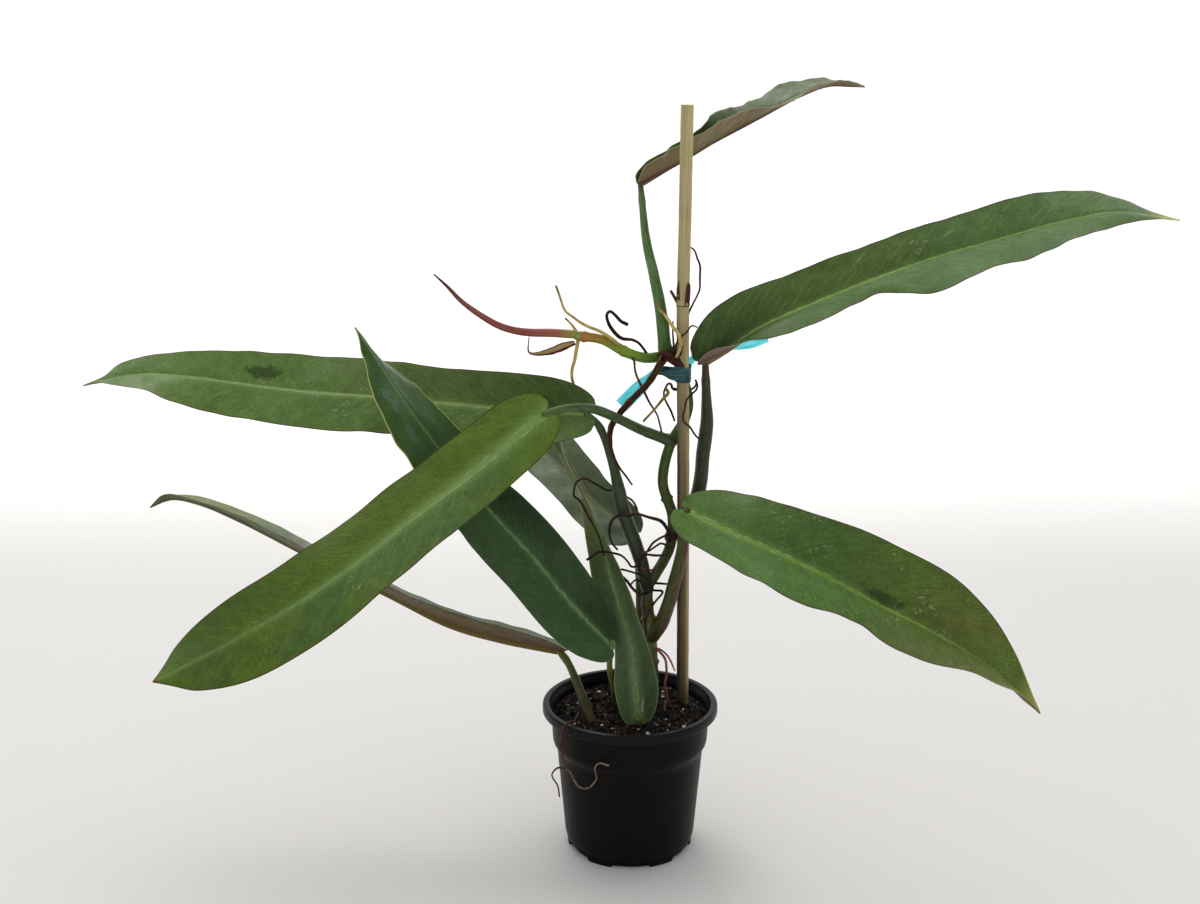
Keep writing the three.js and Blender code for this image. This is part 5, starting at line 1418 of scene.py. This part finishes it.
def make_tie():
    band = Shape()
    heading = math.atan2(BAND_POSTS[1][1] - BAND_POSTS[0][1], BAND_POSTS[1][0] - BAND_POSTS[0][0])
    outline, spokes = [], []
    for end, (x, y, radius) in enumerate(BAND_POSTS):
        for turn in heading + math.pi * (np.linspace(0, 1, 26) + .5 - end):
            spokes.append((math.cos(turn), math.sin(turn), 0))
            reach = radius + BAND_THICKNESS
            outline.append((x + reach * math.cos(turn), y + reach * math.sin(turn)))
    outline = np.array(outline + outline[:1])
    spokes = np.array(spokes + spokes[:1])
    steps = np.linalg.norm(np.diff(outline, axis=0), axis=1)
    lengths = np.concatenate([[0], np.cumsum(steps)])
    where = np.linspace(0, lengths[-1], BAND_COLUMNS)
    ring = np.stack([np.interp(where, lengths, outline[:, k]) for k in range(2)], -1)
    outward = unit(np.stack([np.interp(where, lengths, spokes[:, k]) for k in range(3)], -1))
    closing = np.sin(2 * np.pi * where / lengths[-1])
    levels = np.linspace(0, 1, BAND_ROWS)
    grid = np.zeros((BAND_ROWS, BAND_COLUMNS, 3))
    for row, level in enumerate(levels):
        crease = .16 * np.sin(level * 19 + 2.2 * closing) + .1 * np.sin(level * 41 - 3 * closing)
        grid[row, :, :2] = ring + outward[:, :2] * (crease[:, None] - .12)
        sag = .35 * closing * (level - .5) + .25 * np.sin(4 * np.pi * where / lengths[-1])
        grid[row, :, 2] = BAND_LOW + (BAND_HIGH - BAND_LOW) * level + sag * .5
    place = stacked(where, levels[:, None] * (BAND_HIGH - BAND_LOW), 0)
    add_sheet(band, grid[::-1], BAND_FILM, place=place[::-1], normals=np.broadcast_to(outward, grid.shape))
    deep = tie_film("doubled_vinyl_tape", "05343A", "0E6268", 1.0)
    band.make("tie_band", [deep], ["tie"])

    tails = Shape()
    for points, half, seed in ((TAIL_LEFT, TAIL_LEFT_HALF, 1), (TAIL_RIGHT, TAIL_RIGHT_HALF, 2)):
        route = Route(points)
        rows, columns = 70, 15
        shares = np.linspace(0, 1, rows)
        centre, along = route.at(shares), route.heading(shares)
        out = unit(stacked(along[:, 1], -along[:, 0], 0))
        up = np.cross(out, along)
        level = np.linspace(-1, 1, columns)
        reach = evenly(shares, half)[:, None] * level[None]
        fold = .5 * np.sin(level[None] * 4 + 2 * np.pi * shares[:, None] * 2.2 + seed)
        fold = fold * np.clip(shares * 5, 0, 1)[:, None] + .12 * np.sin(level * 17)[None]
        grid = centre[:, None] + up[:, None] * reach[..., None] + out[:, None] * fold[..., None]
        place = stacked(shares[:, None] * route.length, reach, 0 * reach)
        share = stacked(level, shares[:, None], 0 * reach)
        dark = int(rows * TAIL_GATHERED) if seed == 1 else 0
        for rows_of, kind in ((slice(0, dark + 1), 1), (slice(dark, rows), 0))[dark == 0:]:
            part = [a[rows_of] for a in (grid, place, share, np.broadcast_to(out[:, None], grid.shape))]
            add_sheet(tails, part[0], TAIL_THICKNESS, place=part[1], share=part[2],
                      kinds=(kind, kind), normals=part[3])
    # Painted glow: the loose tails emit a faint cyan light, standing in for light coming through the film
    painted_glow = {"Emission Color": linear("50E6F0"), "Emission Strength": .3}
    loose = tie_film("vinyl_tape", "48D4DE", "96F6FA", .94, **painted_glow)
    tails.make("tie_tails", [loose, deep])


def make_roots(name, roots, kinds, seed):
    """One piece of thin roots, each given by its route, two radii and kind."""
    shape = Shape()
    uneven = bpy.context.scene.plant_sizes.root_unevenness
    for i, (points, start, end, kind) in enumerate(roots):
        add_tube(shape, points, [start, end], kind=kinds.index(kind), sides=8, spacing=1,
                 uneven=uneven, seed=seed + i)
    shape.make(name, root_set(kinds))


def make_stem():
    shape = Shape()
    add_tube(shape, STEM, STEM_GIRTH, sides=30, spacing=1.0, rings=STEM_RINGS, ring_width=1.1,
             uneven=.07, seed=8)
    shape.make("climbing_stem", [stem_skin()], ["main_stem"])
    make_roots("stem_roots", STEM_ROOTS, ["dark", "red", "yellow", "olive", "pink"], 20)


def make_shoot():
    shape = Shape()
    add_tube(shape, SHOOT, SHOOT_GIRTH, sides=24, spacing=1, uneven=.05, seed=4,
             rings=[(.45, .5), (.93, .8)], ring_width=1.4)
    shape.make("young_shoot", [shoot_skin()], ["shoot"])
    make_roots("shoot_roots", SHOOT_ROOTS, ["dark", "yellow", "brown"], 60)

    spear = Shape()
    seam = lambda angles, shares: 1 + .1 * (((angles + 5 * shares) / (2 * np.pi)) % 1) - .05
    add_tube(spear, SPEAR, SPEAR_GIRTH, sides=28, spacing=1.2, stretch=seam)
    spear.make("rolled_leaf", [spear_skin()], ["spear"], sharp=70)


def add_trough(shape, points, girth, span, start, thickness, wrinkle, seed, rows=90, columns=21):
    """Curled papery sheet along a route, open on one side; span and start are in degrees."""
    route = Route(points)
    shares = np.linspace(0, 1, rows)
    headings = route.heading(shares)
    side, upper = carried_frames(headings)
    radius = evenly(shares, girth)[:, None]
    angles = np.radians(start + span * (np.linspace(0, 1, columns) - .5))[None]
    along = shares[:, None] * route.length
    uneven = 1 + wrinkle * ripple(angles * 6, along, seed, 7)
    reach = radius * uneven
    spoke = (side[:, None] * np.cos(angles)[..., None] + upper[:, None] * np.sin(angles)[..., None])
    grid = route.at(shares)[:, None] + spoke * reach[..., None]
    across = np.linspace(-1, 1, columns)[None]
    place = stacked(across * radius * 3, along, 0 * reach)
    share = stacked(across, shares[:, None], np.abs(across) + 0 * reach)
    add_sheet(shape, grid[:, ::-1], thickness, place=place[:, ::-1], share=share[:, ::-1],
              kinds=(0, 1), normals=spoke[:, ::-1])


def make_husks():
    scale = Shape()
    add_trough(scale, LONG_SCALE, LONG_SCALE_GIRTH, LONG_SCALE_SPAN, LONG_SCALE_TURN, .35, .16, 3)
    paper = dry_husk("dead_sheath_paper", "442418", "8E5E4A", "2E1610")
    inside = dry_husk("dead_sheath_lining", "6A4630", "A88058", "3A2018")
    scale.make("dry_scale_leaf", [paper, inside], ["long_scale"])
    stump = Shape()
    add_tube(stump, [(21.5, 21, 342), (26, 18.5, 339.5), (30, 17, 337), (33, 16, 334.5)],
             [2.6, 3.6, 3.6, 2.2], sides=24, spacing=.8, uneven=.35, seed=12)
    add_tube(stump, [(29, 17, 339), (32, 15.5, 343), (33.5, 15.2, 348)], [1.6, 1.1, .5], sides=10,
             spacing=.8, uneven=.3, seed=13)
    collar = dry_husk("dead_collar_of_old_leaf", "2A1412", "5A342A", "1E0E0C")
    stump.make("old_leaf_collar", [collar])
    boat = Shape()
    add_trough(boat, BUD_SHEATH, BUD_SHEATH_GIRTH, BUD_SHEATH_SPAN, BUD_SHEATH_TURN, .3, .06, 5,
               rows=60)
    shell = dry_husk("bud_sheath_shell", "6A2A22", "8A4434", "4A1A1A")
    cream = dry_husk("bud_sheath_lining", "C4AC78", "E6D4A4", "5A2218")
    boat.make("bud_sheath_boat", [shell, cream], ["bud_sheath"])


def make_rim_root():
    shape = Shape()
    uneven = bpy.context.scene.plant_sizes.root_unevenness
    add_tube(shape, RIM_ROOT, [.8, .7], sides=8, spacing=1, uneven=uneven, seed=90)
    for i, points in enumerate(RIM_ROOT_TWIGS):
        add_tube(shape, points, [.7, .5], kind=i, sides=7, spacing=1, uneven=uneven, seed=91 + i)
    shape.make("lip_root", root_set(["red", "grey"]), ["rim_root"])


def make_stage(colours):
    floor = bmesh.new()
    depth = [(-3, 0), (.9, 0)]
    depth += [(.9 + .6 * math.sin(a), .6 - .6 * math.cos(a)) for a in np.radians(range(6, 91, 6))]
    depth += [(1.5, 3.5)]
    rails = [[floor.verts.new((x, y, z)) for y, z in depth] for x in (-4, 4)]
    for i in range(len(depth) - 1):
        floor.faces.new((rails[0][i], rails[1][i], rails[1][i + 1], rails[0][i + 1]))
    mesh = bpy.data.meshes.new("floor_sweep")
    floor.to_mesh(mesh)
    floor.free()
    mesh.polygons.foreach_set("use_smooth", [True] * len(mesh.polygons))
    sweep = bpy.data.objects.new("floor_sweep", mesh)
    bpy.context.scene.collection.objects.link(sweep)
    paper = Finish("matt_backdrop_paper", 1.4, Roughness=.9, **{"Emission Color": (1, 1, 1, 1)})
    spots = paper.add(PLACE)
    tone = paper.add(EASED, paper.add(NOISE, spots, 2, 2), .3, .7, 0, .25)
    colour = paper.add(BLEND, tone, (*colours.floor, 1), "F2F1EF")
    paper.sockets["Emission Strength"] = paper.add(EASED, paper.add(PART_Y, spots), .5, 1.3, 0, .45)
    mesh.materials.append(paper.finish(colour))

    # Sky of the studio: dim in front, bright above and behind, so leaves catch no haze from above
    world = bpy.data.worlds.new("studio")
    bpy.context.scene.world = world
    world.use_nodes = True
    tree = world.node_tree
    tree.nodes.clear()
    direction = add_node(tree, ("ShaderNodeTexCoord", (), "Generated", {}))
    facing = add_node(tree, MOST, add_node(tree, DOT, direction, (0, .6, .8)), 0)
    lobe = add_node(tree, TIMES, add_node(tree, POWER, facing, 5), 1.6)
    light = add_node(tree, PLUS, lobe, .5)
    sky = add_node(tree, ("ShaderNodeBackground", ("Color", "Strength"), 0, {}), (1, 1, 1, 1), light)
    add_node(tree, ("ShaderNodeOutputWorld", (0,), None, {}), sky)
    lamp = bpy.data.lights.new("overhead_softbox", "AREA")
    lamp.energy = LAMP_POWER
    lamp.size = LAMP_SIZE
    holder = bpy.data.objects.new("overhead_softbox", lamp)
    bpy.context.scene.collection.objects.link(holder)
    holder.location = LAMP_PLACE
    aim = Vector(LAMP_AIM) - Vector(LAMP_PLACE)
    holder.rotation_euler = aim.to_track_quat("-Z", "Y").to_euler()
    bpy.context.scene.view_settings.view_transform = "Standard"
    lens = bpy.data.cameras.new("camera")
    lens.lens = CAMERA_LENS
    lens.sensor_width = CAMERA_SENSOR
    camera = bpy.data.objects.new("camera", lens)
    bpy.context.scene.collection.objects.link(camera)
    camera.location = [v * MM for v in CAMERA_PLACE]
    camera.rotation_euler = (math.radians(90 - CAMERA_PITCH), 0, 0)
    bpy.context.scene.camera = camera


class PLANT_OT_stage(bpy.types.Operator):
    """Builds the pale floor and backdrop, the soft lights and the camera"""
    bl_idname = "plant.stage"
    bl_label = "Stage"

    def execute(self, context):
        make_stage(context.scene.plant_colours)
        return {"FINISHED"}


class PLANT_OT_pot(bpy.types.Operator):
    """Builds the moulded nursery pot"""
    bl_idname = "plant.pot"
    bl_label = "Pot"

    def execute(self, context):
        make_pot(context.scene.plant_colours)
        return {"FINISHED"}


class PLANT_OT_soil(bpy.types.Operator):
    """Builds the potting mix with its crumbs, grit and fibres"""
    bl_idname = "plant.soil"
    bl_label = "Soil"

    def execute(self, context):
        make_soil(context.scene.plant_sizes, context.scene.plant_colours)
        return {"FINISHED"}


class PLANT_OT_cane(bpy.types.Operator):
    """Builds the bamboo cane"""
    bl_idname = "plant.cane"
    bl_label = "Cane"

    def execute(self, context):
        make_cane()
        return {"FINISHED"}


class PLANT_OT_tie(bpy.types.Operator):
    """Builds the tape band and its two tails"""
    bl_idname = "plant.tie"
    bl_label = "Tie"

    def execute(self, context):
        make_tie()
        return {"FINISHED"}


class PLANT_OT_stem(bpy.types.Operator):
    """Builds the climbing stem and its aerial roots"""
    bl_idname = "plant.stem"
    bl_label = "Stem and roots"

    def execute(self, context):
        make_stem()
        make_rim_root()
        return {"FINISHED"}


class PLANT_OT_shoot(bpy.types.Operator):
    """Builds the young shoot with its roots and rolled leaf"""
    bl_idname = "plant.shoot"
    bl_label = "Young shoot"

    def execute(self, context):
        make_shoot()
        return {"FINISHED"}


class PLANT_OT_husks(bpy.types.Operator):
    """Builds the dry scale leaf and the bud's sheath"""
    bl_idname = "plant.husks"
    bl_label = "Dry sheaths"

    def execute(self, context):
        make_husks()
        return {"FINISHED"}


class PLANT_OT_leaves(bpy.types.Operator):
    """Builds the nine leaves with their stalks"""
    bl_idname = "plant.leaves"
    bl_label = "Leaves"

    def execute(self, context):
        for name, leaf in LEAVES.items():
            make_leaf(name, leaf, LOOKS[name], context.scene.plant_sizes, context.scene.plant_colours)
            make_stalk(name, leaf)
        return {"FINISHED"}


OPERATORS = (PLANT_OT_stage, PLANT_OT_pot, PLANT_OT_soil, PLANT_OT_cane, PLANT_OT_tie,
             PLANT_OT_stem, PLANT_OT_shoot, PLANT_OT_husks, PLANT_OT_leaves)


class PLANT_PT_panel(bpy.types.Panel):
    bl_label = "Potted philodendron"
    bl_idname = "PLANT_PT_panel"
    bl_space_type = "VIEW_3D"
    bl_region_type = "UI"
    bl_category = "Plant"

    def draw(self, context):
        for group in (context.scene.plant_sizes, context.scene.plant_colours):
            column = self.layout.column()
            for name in group.bl_rna.properties.keys():
                if name not in ("rna_type", "name"):
                    column.prop(group, name)
        for operator in OPERATORS:
            self.layout.operator(operator.bl_idname)


CLASSES = (PlantSizes, PlantColours, *OPERATORS, PLANT_PT_panel)


def register():
    for each in CLASSES:
        bpy.utils.register_class(each)
    bpy.types.Scene.plant_sizes = PointerProperty(type=PlantSizes)
    bpy.types.Scene.plant_colours = PointerProperty(type=PlantColours)


def unregister():
    del bpy.types.Scene.plant_colours
    del bpy.types.Scene.plant_sizes
    for each in reversed(CLASSES):
        bpy.utils.unregister_class(each)


def main():
    register()
    for name in ("stage", "pot", "soil", "cane", "tie", "stem", "shoot", "husks", "leaves"):
        getattr(bpy.ops.plant, name)()


if __name__ == "__main__":
    main()
